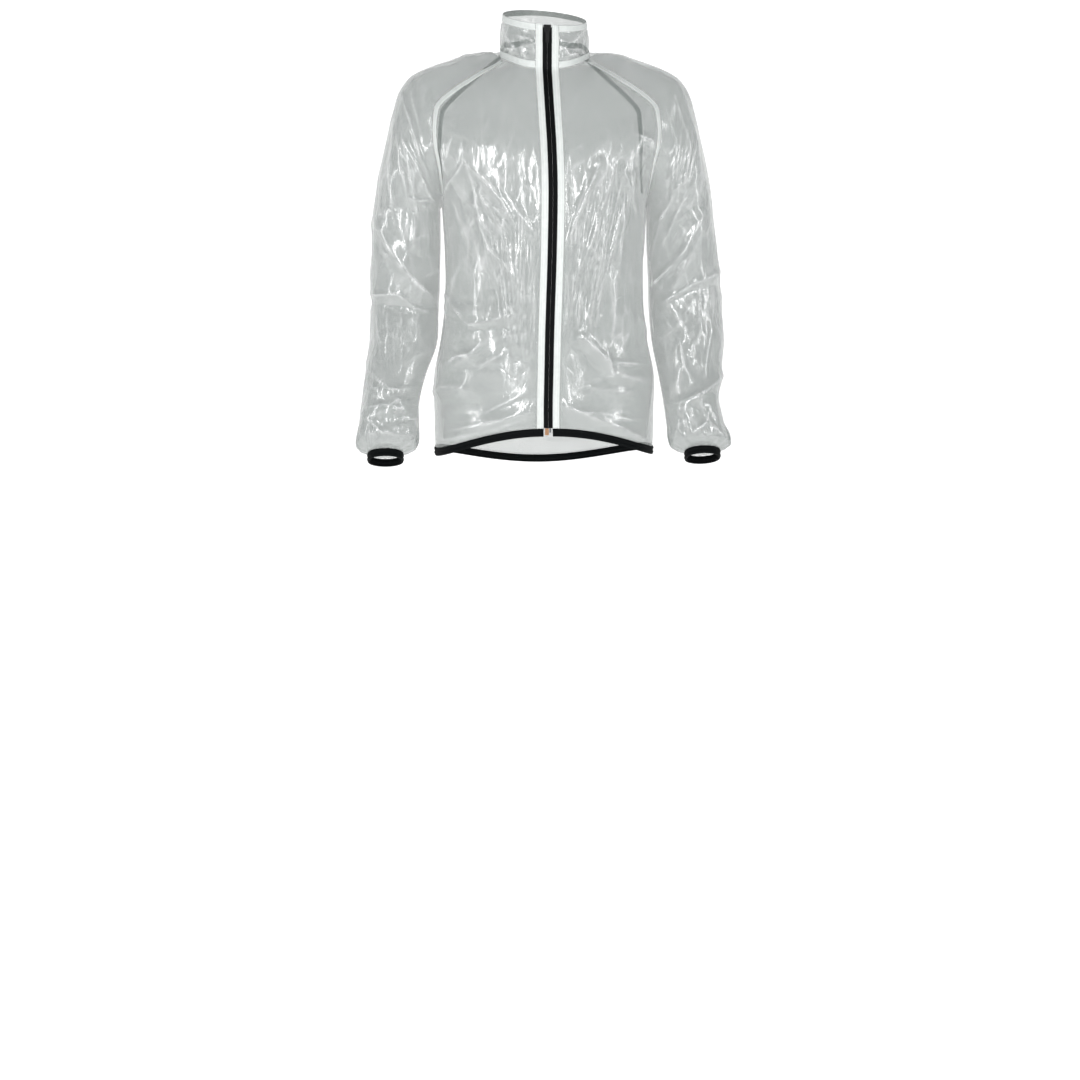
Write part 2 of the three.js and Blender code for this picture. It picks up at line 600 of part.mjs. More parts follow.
// Elastic bindings at the hem and the cuffs
const hemEdge = [front.right, back, front.left].flatMap((rows) => rows[lastRow]);
const hemRows = bindingRows(hemEdge, new THREE.Vector3(0, 0, -1));
add("hem_binding", wall(hemRows, BINDING_INSIDE, BINDING_FACE), black());
for (const [name, arm, side] of [["right", ARM.right, -1], ["left", ARM.left, 1]]) {
  const rows = bindingRows(cuffEdge(arm, side), armDirection(arm));
  add("cuff_binding_" + name, wall(rows, BINDING_INSIDE, BINDING_FACE), black());
}

// The zip's slider, in its own frame: x across the zip, y up along it and z out of it, with z 0 on
// the face of the tapes.
const SLIDER = { top: 5, bottom: -5, halfTop: 5.3, halfBottom: 4.2, plate: 1.2, corner: 1.6 };
const BRIDGE = { top: 3.2, bottom: -2.4, foot: 1, half: 0.7, under: 3.3, over: 4.3 };
const PULL = { axisY: -0.4, axisZ: 2.4, pin: 0.6, half: 2.6, length: 19 };
const PULL_ARM = { width: 1, end: 5.8, plate: 4.8 }; // where the arms end and the plate starts, from the pin
const POST_HALF = 1.2;
const POST_CLEAR = 0.4; // between the post and the ends of the tapes
const PULL_CLEAR = 0.4; // on each side of the bridge

// A closed mesh as a solid that can be joined, and a joined solid as a geometry.
function solid(geometry) {
  const bare = geometry.clone();
  bare.deleteAttribute("normal");
  bare.deleteAttribute("uv");
  const merged = mergeVertices(bare);
  const vertProperties = merged.attributes.position.array;
  const triVerts = new Uint32Array(merged.index.array);
  return new wasm.Manifold(new wasm.Mesh({ numProp: 3, vertProperties, triVerts }));
}
function geometryOf(manifold) {
  const mesh = manifold.getMesh();
  const geometry = new THREE.BufferGeometry();
  geometry.setAttribute("position", new THREE.BufferAttribute(mesh.vertProperties, 3));
  geometry.setIndex(new THREE.BufferAttribute(mesh.triVerts, 1));
  geometry.computeVertexNormals();
  return geometry;
}
const joined = (geometries) => geometryOf(geometries.map(solid).reduce((a, b) => a.add(b)));
function block(x1, x2, y1, y2, z1, z2) {
  const box = new THREE.BoxGeometry(x2 - x1, y2 - y1, z2 - z1);
  return box.translate((x1 + x2) / 2, (y1 + y2) / 2, (z1 + z2) / 2);
}

// The outline of the slider's two plates, wide at the top and narrower below.
function sliderOutline() {
  const { top, bottom, halfTop, halfBottom, corner } = SLIDER;
  const shape = new THREE.Shape();
  shape.moveTo(-halfTop, top - corner);
  shape.quadraticCurveTo(-halfTop, top, -halfTop + corner, top);
  shape.lineTo(halfTop - corner, top);
  shape.quadraticCurveTo(halfTop, top, halfTop, top - corner);
  shape.lineTo(halfBottom, bottom + corner);
  shape.quadraticCurveTo(halfBottom, bottom, halfBottom - corner, bottom);
  shape.lineTo(-halfBottom + corner, bottom);
  shape.quadraticCurveTo(-halfBottom, bottom, -halfBottom, bottom + corner);
  return shape;
}
function plateAt(z) {
  const sizes = { depth: SLIDER.plate, bevelEnabled: false, curveSegments: 3 };
  return new THREE.ExtrudeGeometry(sliderOutline(), sizes).translate(0, 0, z);
}
function sliderGeometry() {
  const frontPlate = SEAM_GAP;
  const rearPlate = coilFace - COIL - SEAM_GAP - SLIDER.plate;
  const plateFace = frontPlate + SLIDER.plate;
  const postBottom = SLIDER.top - ZIP_STOP + POST_CLEAR;
  const halfPlate = SLIDER.plate / 2;
  const [postBack, postFront] = [rearPlate + halfPlate, frontPlate + halfPlate];
  const { top, bottom, foot, half, under, over } = BRIDGE;
  return joined([
    plateAt(frontPlate),
    plateAt(rearPlate),
    block(-POST_HALF, POST_HALF, postBottom, SLIDER.top, postBack, postFront),
    block(-half, half, top - foot, top, plateFace - halfPlate, over),
    block(-half, half, bottom, bottom + foot, plateFace - halfPlate, over),
    block(-half, half, bottom, top, under, over),
  ]);
}
// The pull tab: a pin under the bridge, two arms past it and a plate with a round end.
function pullGeometry() {
  const { axisY, axisZ, pin, half, length } = PULL;
  const armInside = BRIDGE.half + PULL_CLEAR;
  const armOutside = armInside + PULL_ARM.width;
  const [near, far] = [axisZ - pin, axisZ + pin];
  const rod = new THREE.CylinderGeometry(pin, pin, 2 * armOutside, 12).rotateZ(Math.PI / 2);
  const armFoot = axisY - PULL_ARM.end;
  const tip = new THREE.CylinderGeometry(half, half, 2 * pin, 16).rotateX(Math.PI / 2);
  return joined([
    rod.translate(0, axisY, axisZ),
    block(-armOutside, -armInside, armFoot, axisY + pin, near, far),
    block(armInside, armOutside, armFoot, axisY + pin, near, far),
    block(-half, half, axisY - length + half, axisY - PULL_ARM.plate, near, far),
    tip.translate(0, axisY - length + half, axisZ),
  ]);
}
// The slider's place, at the top of the collar and square to the tapes.
const SLIDER_DROP = 5; // of its middle below the top edge
const collarCentre = collarEnds.map(([p, q]) => p.clone().lerp(q, 0.5));
const upTheZip = collarCentre[0].clone().sub(collarCentre[1]).normalize();
const outOfZip = new THREE.Vector3(1, 0, 0).cross(upTheZip).normalize();
const turn = new THREE.Matrix4().makeBasis(new THREE.Vector3(1, 0, 0), upTheZip, outOfZip);
const slider = add("zip_slider", sliderGeometry(), hardBlack());
const pull = add("zip_pull", pullGeometry(), hardBlack());
for (const piece of [slider, pull]) {
  piece.position.copy(collarCentre[0]).addScaledVector(upTheZip, -SLIDER_DROP);
  piece.quaternion.setFromRotationMatrix(turn);
}

// The metal box and pin at the foot of the zip, between the ends of the hem's binding
const ZIP_BOX = { left: -4.6, right: 0.8, height: 9.6, near: -1.6, far: 1.4 };
const ZIP_PIN = { left: 1.6, right: 4.2, height: 6, near: -1.2, far: 1 };
const zipFoot = zipEnds.at(-1)[0].clone().lerp(zipEnds.at(-1)[1], 0.5);
const endPiece = ({ left, right, height, near, far }) => {
  const hanging = block(left, right, -SEAM_GAP - height, -SEAM_GAP, near, far);
  return hanging.rotateX(Math.PI / 2).translate(...zipFoot.toArray());
};
add("zip_box", endPiece(ZIP_BOX), brass());
add("zip_pin", endPiece(ZIP_PIN), steel());

export default jacket;
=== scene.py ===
import math

import bmesh
import bpy
import mathutils
import numpy as np
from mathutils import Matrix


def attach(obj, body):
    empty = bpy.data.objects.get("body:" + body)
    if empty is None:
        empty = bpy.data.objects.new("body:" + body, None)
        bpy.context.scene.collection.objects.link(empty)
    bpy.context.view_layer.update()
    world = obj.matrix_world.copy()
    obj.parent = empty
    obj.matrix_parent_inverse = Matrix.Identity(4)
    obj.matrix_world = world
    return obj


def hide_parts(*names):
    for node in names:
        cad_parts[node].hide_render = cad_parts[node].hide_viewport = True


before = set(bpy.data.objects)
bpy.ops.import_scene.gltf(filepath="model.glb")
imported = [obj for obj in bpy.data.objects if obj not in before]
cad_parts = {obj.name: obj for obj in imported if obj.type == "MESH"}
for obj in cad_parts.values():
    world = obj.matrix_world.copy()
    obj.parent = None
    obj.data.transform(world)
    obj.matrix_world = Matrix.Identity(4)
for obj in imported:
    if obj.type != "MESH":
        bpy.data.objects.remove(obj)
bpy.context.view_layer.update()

# The two fronts of a clear rain jacket for cycling. Each is one panel of thin coated film, cut
# from the zip to the raglan and side seams, with its edges sewn to its neighbours. The film is
# stiff and light, so it keeps sharp creases where it was folded and pulled.
ZIP_HALF = 0.0063
SEAM_GAP = 0.0003
ZIP_BAND = 0.0095
BODY_FULLNESS = 1.1
FILM = 0.0003
FRONT_COLUMNS = 105
TORSO_ROW_COUNT = 205
RIB_STEPS = 90
SEED = 7


def table(names, rows):
    """Rows with named columns."""
    return [dict(zip(names.split(), row)) for row in rows]


# "at" is 0 at the neck, 1 at the underarm and 2 at the edge of the cloth.
FRONT_LINE = table("at y z sway", [
    (0.0, -0.071, -0.02, 0),
    (0.2, -0.087, -0.052, 0.001),
    (0.42, -0.102, -0.089, 0.0025),
    (0.6, -0.113, -0.124, 0.004),
    (0.8, -0.121, -0.165, 0.005),
    (1.0, -0.124, -0.205, 0.005),
    (1.22, -0.121, -0.275, 0.004),
    (1.4, -0.117, -0.332, 0.0025),
    (1.56, -0.116, -0.384, 0.001),
    (1.72, -0.117, -0.434, 0),
    (1.88, -0.118, -0.48, -0.001),
    (2.0, -0.118, -0.5147, -0.001),
])
SIDE_LINE = table("at x y z", [
    (1.0, -0.147, 0.003, -0.212),
    (1.22, -0.1435, 0.002, -0.286),
    (1.4, -0.144, 0.002, -0.343),
    (1.56, -0.151, 0.002, -0.4),
    (1.72, -0.161, 0.002, -0.454),
    (1.88, -0.161, 0.002, -0.512),
    (2.0, -0.1605, 0.002, -0.5567),
])
FRONT_SEAM = table("at x y z arrive leave rise hold", [
    (0.0, -0.0594, -0.024, -0.005, 66, 66, 0.2, 0.011),
    (0.2, -0.104, -0.051, -0.028, 46, 46, 0.42, 0.025),
    (0.42, -0.1545, -0.061, -0.065, 40, 40, 0.33, 0.034),
    (0.5, -0.16, -0.068, -0.092, 48, 30, 0.15, 0.039),
    (0.6, -0.1585, -0.07, -0.122, 58, 6, 0.05, 0.045),
    (0.7, -0.153, -0.061, -0.148, 68, -20, 0, 0.052),
    (0.84, -0.1475, -0.036, -0.184, 80, -58, 0, 0.064),
    (1.0, -0.147, 0.003, -0.212, 90, -90, 0, 0.08),
])


def smooth(rows, name, at):
    """One column of a table at many places, by a cubic through the rows round each."""
    at = np.asarray(at, float)
    places = np.array([row["at"] for row in rows])
    values = np.array([row[name] for row in rows], float)
    slopes = np.empty_like(values)
    slopes[1:-1] = (values[2:] - values[:-2]) / (places[2:] - places[:-2])
    slopes[0] = (values[1] - values[0]) / (places[1] - places[0])
    slopes[-1] = (values[-1] - values[-2]) / (places[-1] - places[-2])
    i = np.clip(np.searchsorted(places, at, "right") - 1, 0, len(places) - 2)
    span = places[i + 1] - places[i]
    t = (at - places[i]) / span
    bend = slopes[i] * span * (1 - t) - slopes[i + 1] * span * t
    return values[i] + (values[i + 1] - values[i]) * t * t * (3 - 2 * t) + t * (1 - t) * bend


def run_along(points):
    """How far along its line each point lies, for one line or for a stack of them."""
    steps = np.linalg.norm(np.diff(points, axis=-2), axis=-1)
    return np.concatenate([np.zeros(steps.shape[:-1] + (1,)), np.cumsum(steps, axis=-1)], axis=-1)


def picked(line, run, places):
    """A line's points, with what else its rows hold, at some distances along it."""
    return np.stack([np.interp(places, run, column) for column in line.T], axis=1)


def ribs(start, first, second, end, spots, gap_start=0.0, gap_end=0.0):
    """Points along many cubic curves at once, at even shares of each curve's own length."""
    t = np.linspace(0, 1, RIB_STEPS)[None, :, None]
    a, b, c, d = (p[:, None, :] for p in (start, first, second, end))
    curve = a * (1 - t) ** 3 + 3 * b * t * (1 - t) ** 2 + 3 * c * t * t * (1 - t) + d * t ** 3
    along = run_along(curve)
    out = [picked(line, run, gap_start + (run[-1] - gap_start - gap_end) * spots)
           for line, run in zip(curve, along)]
    return np.reshape(out, (len(start), len(spots), 3)), along[:, -1]


def body_ribs(centre, seam, facing, at, spots):
    """Ribs of a front or back on the wearer's right, from the centre line to the seam."""
    under = (at >= 1)[:, None]
    side = np.stack([smooth(SIDE_LINE, n, np.maximum(at, 1)) for n in "xyz"], axis=1)
    raglan = np.stack([smooth(seam, n, np.minimum(at, 1)) for n in "xyz"], axis=1)
    end = np.where(under, side, raglan)
    turn = np.radians(np.where(at >= 1, 90, smooth(seam, "arrive", np.minimum(at, 1))))
    rise = np.where(at >= 1, 0, smooth(seam, "rise", np.minimum(at, 1)))
    heading = np.stack([-np.cos(turn), -facing * np.sin(turn), rise], axis=1)
    chord = np.linalg.norm(centre - end, axis=1)
    reach = ((2 / 3) * chord * np.tan(turn / 4) / np.sin(turn / 2) * BODY_FULLNESS)[:, None]
    leave = centre - reach * [1, 0, 0]
    return ribs(centre, leave, end - reach * heading, end, spots, 0, SEAM_GAP / 2)


def sheet_normals(points, quads):
    """Outward normals of a sheet's points, from its four-sided faces."""
    a, b, c, d = (points[quads[:, i]] for i in range(4))
    cross = np.cross(c - a, d - b)
    out = np.zeros_like(points)
    for i in range(4):
        np.add.at(out, quads[:, i], cross)
    return out / np.maximum(np.linalg.norm(out, axis=1), 1e-12)[:, None]


def sheet_of(grid, outward):
    """A grid of points as one sheet: points, faces, and each point's place across and down it
    in metres. Points that fall on each other, as down a sleeve's underarm, are one."""
    rows, columns, _ = grid.shape
    flat = grid.reshape(-1, 3)
    keys = {}
    ids = np.empty(len(flat), int)
    for i, p in enumerate(np.round(flat, 7)):
        ids[i] = keys.setdefault(p.tobytes(), len(keys))
    first = np.zeros(len(keys), int)
    first[ids[::-1]] = np.arange(len(flat))[::-1]
    index = ids.reshape(rows, columns)
    corners = [index[:-1, :-1], index[:-1, 1:], index[1:, 1:], index[1:, :-1]]
    quads = np.stack(corners, axis=-1).reshape(-1, 4)
    down = np.broadcast_to(run_along(grid[:, columns // 2])[:, None], (rows, columns))
    points = flat[first]
    normal = sheet_normals(points, quads)
    tested = quads[len(quads) // 2, 0]
    if normal[tested] @ np.array(outward(points[tested])) < 0:
        quads = quads[:, ::-1]
        normal = -normal
    return {"points": points, "quads": quads, "normal": normal, "index": index,
            "uv": np.stack([run_along(grid).ravel()[first], down.ravel()[first]], axis=1)}


MM = 0.001


def creases(piece, facing, rows):
    """Creases of one piece, in millimetres: how high each stands (a trough is
    below nothing), how wide it is, how sharp, from 0 for a soft roll to 1 for a knife edge, and its
    line from point to point as it is seen from the front or the back (x, z). Facing is -1 for the
    front only, 1 for the back only, and 0 for both."""
    named = table("height width sharp line", rows)
    return [{"piece": piece, "facing": facing, **row} for row in named]


FRONT_CREASES = creases("front_right", 0, [
    # large soft folds
    (5, 13, 0.2, [(-146, -128), (-112, -200)]),
    (4, 12, 0.3, [(-112, -135), (-66, -208)]),
    (-3, 12, 0.1, [(-130, -205), (-84, -160)]),
    (5, 13, 0.1, [(-52, -180), (-30, -400)]),
    (-4, 14, 0.1, [(-108, -235), (-70, -380)]),
    (4, 12, 0.4, [(-146, -352), (-60, -356)]),
    (4, 12, 0.4, [(-150, -440), (-90, -404)]),
    (5, 14, 0.2, [(-152, -470), (-110, -462)]),
    (4, 13, 0.4, [(-150, -540), (-16, -480)]),
]) + creases("front_left", 0, [
    (-4, 11, 0.2, [(30, -150), (50, -375)]),
    (4, 12, 0.4, [(70, -150), (58, -375)]),
    (4, 12, 0.3, [(102, -165), (90, -378)]),
    (5, 12, 0.4, [(50, -388), (92, -438)]),
    (4, 12, 0.4, [(92, -438), (144, -456)]),
    (4, 13, 0.4, [(18, -480), (138, -542)]),
]) + creases("front_right", 0, [
    # right front: pulls from the armpit, and the star of creases on the chest
    (2.5, 6, 0.7, [(-152, -112), (-142, -140), (-136, -172)]),
    (2.5, 6, 0.7, [(-142, -185), (-124, -160), (-118, -146)]),
    (3.5, 6, 0.9, [(-112, -147), (-82, -174), (-66, -196), (-50, -222)]),
    (3.5, 6, 0.9, [(-112, -147), (-102, -186), (-92, -228), (-80, -242)]),
    (2, 5, 0.8, [(-96, -160), (-90, -200), (-62, -236)]),
    (1.8, 5, 0.6, [(-70, -175), (-16, -245)]),
    (2, 5, 0.8, [(-84, -176), (-79, -206), (-60, -216)]),
    # right front: long falling folds beside the zip
    (3, 6, 0.8, [(-98, -222), (-84, -262), (-50, -300), (-37, -345)]),
    (2.2, 5, 0.6, [(-58, -230), (-50, -320), (-46, -402)]),
    (2.5, 5, 0.6, [(-44, -270), (-34, -412)]),
    (2, 5, 0.7, [(-26, -232), (-20, -385)]),
    (1.6, 4, 0.7, [(-70, -260), (-58, -390)]),
    (-2, 8, 0.3, [(-120, -250), (-108, -340)]),
    (-2, 7, 0.3, [(-78, -290), (-68, -360)]),
    # right front: drags at the waist and over the hem
    (3, 6, 0.8, [(-150, -325), (-112, -368), (-58, -358)]),
    (2, 5, 0.8, [(-145, -352), (-110, -372), (-66, -366)]),
    (3, 6, 0.9, [(-152, -436), (-128, -418), (-108, -412), (-94, -396)]),
    (1.5, 5, 0.6, [(-98, -430), (-66, -410)]),
    (3.5, 7, 0.6, [(-163, -478), (-148, -462), (-120, -458)]),
    (-3, 8, 0.3, [(-158, -496), (-120, -474)]),
    (3, 7, 0.8, [(-156, -528), (-82, -507), (-20, -490)]),
    (2.2, 5, 0.9, [(-130, -534), (-76, -517), (-20, -497)]),
    (1.8, 6, 0.6, [(-110, -505), (-30, -462)]),
]) + creases("front_left", 0, [
    # left front: pleats that fall from the chest, and pulls at the armpit
    (3, 5, 0.8, [(71, -143), (46, -200), (22, -268)]),
    (3, 5, 0.8, [(92, -143), (71, -216), (36, -312)]),
    (2.5, 5, 0.8, [(88, -200), (70, -285), (57, -365)]),
    (2.2, 5, 0.7, [(78, -262), (67, -368)]),
    (2, 4, 0.8, [(56, -160), (30, -235)]),
    (2, 4, 0.8, [(64, -157), (25, -254)]),
    (2, 5, 0.7, [(103, -196), (98, -300)]),
    (3.5, 6, 0.9, [(103, -158), (113, -180), (108, -212), (100, -240)]),
    (2.5, 5, 0.9, [(120, -160), (116, -190), (124, -214)]),
    (2, 5, 0.7, [(46, -300), (40, -375)]),
    (3, 6, 0.8, [(120, -108), (144, -116), (154, -140)]),
    # left front: waist and hem
    (3.5, 6, 0.9, [(48, -386), (85, -424), (142, -430)]),
    (3, 5, 0.9, [(80, -400), (86, -430), (90, -444)]),
    (3, 7, 0.6, [(130, -366), (147, -388)]),
    (3, 6, 0.8, [(20, -482), (105, -517), (142, -540)]),
    (2, 5, 0.8, [(36, -489), (135, -510)]),
    (1.5, 6, 0.5, [(60, -460), (130, -470)]),
])


# Fine pleats that fall side by side between two points, over a breadth, in millimetres
PLEAT_SHARP = 0.9
PLEATS = table("piece facing top bottom breadth count height width", [
    ("front_right", -1, (-54, -218), (-42, -398), 34, 8, 1.5, 3.0),
    ("front_right", -1, (-22, -205), (-18, -392), 16, 5, 1.2, 2.6),
    ("front_right", -1, (-92, -168), (-52, -238), 26, 5, 1.4, 3.0),
    ("front_left", -1, (84, -152), (50, -352), 50, 9, 1.5, 3.0),
    ("front_left", -1, (30, -190), (22, -370), 18, 4, 1.2, 2.6),
    ("front_left", -1, (112, -168), (104, -236), 16, 4, 1.5, 3.0),
    ("back", 1, (-60, -180), (-46, -380), 60, 8, 1.4, 3.2),
    ("back", 1, (64, -190), (50, -390), 60, 8, 1.4, 3.2),
    ("sleeve_right", -1, (-192, -136), (-176, -192), 16, 4, 1.3, 2.6),
    ("sleeve_right", -1, (-226, -346), (-222, -430), 34, 5, 1.3, 3.0),
    ("sleeve_left", -1, (196, -90), (186, -196), 26, 5, 1.3, 3.0),
    ("sleeve_left", -1, (222, -330), (216, -436), 36, 5, 1.3, 3.0),
])


def pleated(rows):
    """Each group of pleats as creases, uneven in place, length and height."""
    uneven = np.random.default_rng(SEED)
    made = []
    for row in rows:
        for share in np.linspace(-0.5, 0.5, row["count"]):
            aside, bow, early, late, size = uneven.uniform(-1, 1, 5)
            x = row["breadth"] * (share + 0.3 * aside / row["count"])
            (x1, z1), (x2, z2) = row["top"], row["bottom"]
            drop = z2 - z1
            start, end = z1 + 0.16 * early * drop + 0.1 * drop, z2 + 0.12 * late * drop
            middle = ((x1 + x2) / 2 + 0.85 * x + 1.5 * bow, (start + end) / 2)
            line = [(x1 + x, start), middle, (x2 + 0.7 * x, end)]
            pleat = (row["height"] * (1 + 0.4 * size), row["width"], PLEAT_SHARP, line)
            made += creases(row["piece"], row["facing"], [pleat])
    return made


EDGE_WIDE = 0.24  # of the bright edge of a crease, whitened in colour, part stress whitening and part painted highlight, in the crease's widths
FLANK_AT = 0.9  # of the flanks beside it, where the film's colour is darkened as painted shade, in widths
FLANK_WIDE = 0.5
# how strong the painted shade on the flanks is
FLANK_PAINTED_SHADE = 0.5
TURNED = 1.4  # how soon a sheet that turns away counts as the other side
ENDS = 0.1  # of a crease's length, by which its taper starts before its ends


def creased(rows, piece, sheet, far_share=1.0):
    """How far the creases lift each point of a sheet, from its place beside each crease's line, and
    how much it lies on a sharp edge, up to 1, or in the shade beside one, down to -1. The film's
    colour is whitened on the edge, part stress whitening and part painted highlight, and darkened
    beside it as painted shade."""
    x, z = sheet["points"][:, 0] / MM, sheet["points"][:, 2] / MM
    front = np.clip(0.5 - sheet["normal"][:, 1] * TURNED, 0, 1)
    sides = {-1: front, 0: far_share + (1 - far_share) * front, 1: 1 - front}
    total, ridge, flank = np.zeros(len(x)), np.zeros(len(x)), np.zeros(len(x))
    for row in rows:
        if row["piece"] != piece:
            continue
        line = np.array(row["line"])
        steps = np.linalg.norm(np.diff(line, axis=0), axis=1)
        starts = run_along(line)
        nearest = np.full(len(x), 1e9)
        share = np.zeros(len(x))
        for a, b, step, start in zip(line[:-1], line[1:], steps, starts):
            t = ((x - a[0]) * (b[0] - a[0]) + (z - a[1]) * (b[1] - a[1])) / step ** 2
            t = np.clip(t, 0, 1)
            away = np.hypot(x - a[0] - t * (b[0] - a[0]), z - a[1] - t * (b[1] - a[1]))
            closer = away < nearest
            nearest = np.where(closer, away, nearest)
            share = np.where(closer, (start + t * step) / starts[-1], share)
        away = nearest / row["width"]
        shape = np.exp(-away ** 2) * (1 - row["sharp"]) + np.exp(-1.6 * away) * row["sharp"]
        taper = np.sqrt(np.sin(np.pi * (ENDS + (1 - 2 * ENDS) * share)))
        side = sides[row["facing"]]
        total += row["height"] * MM * taper * shape * side
        if row["height"] > 0:
            # On each raised crease: a white edge, part stress whitening and part painted highlight,
            # and painted shade on the flanks beside it.
            amount = row["sharp"] * taper * side
            ridge = np.maximum(ridge, amount * np.exp(-(away / EDGE_WIDE) ** 2))
            beside = FLANK_PAINTED_SHADE * amount * np.exp(-((away - FLANK_AT) / FLANK_WIDE) ** 2)
            flank = np.maximum(flank, beside)
    return total, ridge - flank


# Crumples between the main creases: nets of straight sharp ridges with nearly flat facets between
# them, longer down the cloth than across it, and how much of them there is from the shoulders down,
# on the body and on the sleeves.
# edge is how much a cell's ridge whitens the film's colour, part stress whitening and part painted
# highlight.
CRUMPLES = table("across down height edge", [
    (0.055, 0.130, 0.0050, 0.45),
    (0.024, 0.058, 0.0020, 0.40),
    (0.011, 0.030, 0.0006, 0.25),
])
CELL_LEVEL = 0.25  # how far inside a cell the film is level with the sheet, in cells
CELL_EDGE = 0.03
CRUMPLED = table("z body sleeve", [
    (-0.560, 0.35, 0.8),
    (-0.490, 0.25, 0.8),
    (-0.440, 0.35, 0.8),
    (-0.390, 0.90, 1.0),
    (-0.170, 1.00, 1.0),
    (-0.120, 0.45, 0.5),
    (-0.030, 0.30, 0.4),
    (0.010, 1.30, 1.3),
])


def crumple(sheet, piece_number, where="body"):
    """Height of the crumples at each point, from cells with a fixed place for each piece, and how
    much each point lies on a ridge between two cells, which whitens the film's colour there, part
    stress whitening and part painted highlight."""
    points = sheet["points"]
    total, ridge = np.zeros(len(points)), np.zeros(len(points))
    share = np.interp(points[:, 2], [r["z"] for r in CRUMPLED], [r[where] for r in CRUMPLED])
    for layer, row in enumerate(CRUMPLES):
        shift = mathutils.Vector((SEED + 13.7 * piece_number, 5.1 * layer, 0))
        scaled = points / [row["across"], row["across"], row["down"]]
        cells = [mathutils.noise.voronoi(mathutils.Vector(p) + shift)[0] for p in scaled]
        inside = np.array([cell[1] - cell[0] for cell in cells])
        total += row["height"] * (CELL_LEVEL - inside)
        ridge = np.maximum(ridge, row["edge"] * np.exp(-(inside / CELL_EDGE) ** 2))
    return total * share, ridge * share


def fade(distance, reach):
    """0 on an edge, rising smoothly to 1 a reach away from it."""
    t = np.clip(distance / reach, 0, 1)
    return t * t * (3 - 2 * t)


def lifted(sheet, reliefs, sewn):
    """Moves a sheet's points out by its creases and crumples, less where it is sewn, keeping where
    they were, and turns its normals."""
    height = sum(relief[0] for relief in reliefs) * sewn
    # These crest and flank values colour the film: whiter on crests, part stress whitening and part
    # painted highlight, and darker beside creases as painted shade.
    sheet["ridge"] = np.clip(sum(relief[1] for relief in reliefs), -1, 1) * sewn
    sheet["base"] = sheet["points"]
    sheet["base_normal"] = sheet["normal"]
    sheet["points"] = sheet["points"] + sheet["normal"] * height[:, None]
    sheet["normal"] = sheet_normals(sheet["points"], sheet["quads"])
    return sheet


def put(name, data):
    """An object in the scene, at the origin, unturned."""
    made = bpy.data.objects.new(name, data)
    bpy.context.scene.collection.objects.link(made)
    return made


def declared(piece, replaced=(), body="jacket"):
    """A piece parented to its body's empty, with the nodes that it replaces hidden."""
    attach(piece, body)
    if replaced:
        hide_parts(*replaced)
    return piece


def cloth_piece(name, sheet, wall, material, replaced):
    """A sheet as a mesh piece with its own UV map in metres and a wall inwards from its face."""
    mesh = bpy.data.meshes.new(name)
    mesh.from_pydata(sheet["points"].tolist(), [], sheet["quads"].tolist())
    corners = np.empty(len(mesh.loops), int)
    mesh.loops.foreach_get("vertex_index", corners)
    mesh.uv_layers.new(name="cut").data.foreach_set("uv", sheet["uv"][corners].ravel())
    # The ridge attribute carries the film's crest whitening and painted highlight, and its painted
    # shade beside the creases.
    if "ridge" in sheet:
        mesh.attributes.new("ridge", "FLOAT", "POINT").data.foreach_set("value", sheet["ridge"])
    mesh.polygons.foreach_set("use_smooth", [True] * len(mesh.polygons))
    mesh.materials.append(material)
    piece = put(name, mesh)
    shell = piece.modifiers.new("wall", "SOLIDIFY")
    shell.thickness = wall
    shell.offset = -1
    return declared(piece, replaced)


def linear(code):
    """An sRGB hex colour as the linear colour that a shader takes."""
    parts = [int(code[i:i + 2], 16) / 255 for i in (1, 3, 5)]
    return [c / 12.92 if c <= 0.04045 else ((c + 0.055) / 1.055) ** 2.4 for c in parts] + [1.0]


def node(tree, kind, settings=None, links=None):
    """Adds a node. Settings are its properties or its inputs' values, links its inputs' sources."""
    made = tree.nodes.new(kind)
    for key, value in (settings or {}).items():
        if isinstance(key, str) and hasattr(made, key):
            setattr(made, key, value)
        else:
            made.inputs[key].default_value = value
    for key, source in (links or {}).items():
        tree.links.new(source, made.inputs[key])
    return made


def new_material(name, settings):
    """A material with one shader and its settings: the material, its tree, the shader, and the
    place of each point in metres."""
    material = bpy.data.materials.new(name)
    material.use_nodes = True
    tree = material.node_tree
    tree.nodes.clear()
    shader = node(tree, "ShaderNodeBsdfPrincipled", settings)
    node(tree, "ShaderNodeOutputMaterial", None, {"Surface": shader.outputs[0]})
    return material, tree, shader, node(tree, "ShaderNodeTexCoord").outputs["Object"]


# Milky polyurethane film, cast thin and calendered: half clear, with a wet gloss that breaks up
# along the creases, and a fine grain like frosted cellophane that softens what is behind it. Its
# colour is whitened on the crests of its creases and crumples, part stress whitening and part
# painted highlight, and darkened on the flanks beside the creases as painted shade.
FILM_LOOK = {"IOR": 1.6, "Specular IOR Level": 1.0, "Alpha": 0.36}
FILM_GRAIN = 0.0016
FILM_CRINKLE = 0.009
FILM_PATCH = 0.022
clear_film, tree, shader, place = new_material("calendered polyurethane film", FILM_LOOK)
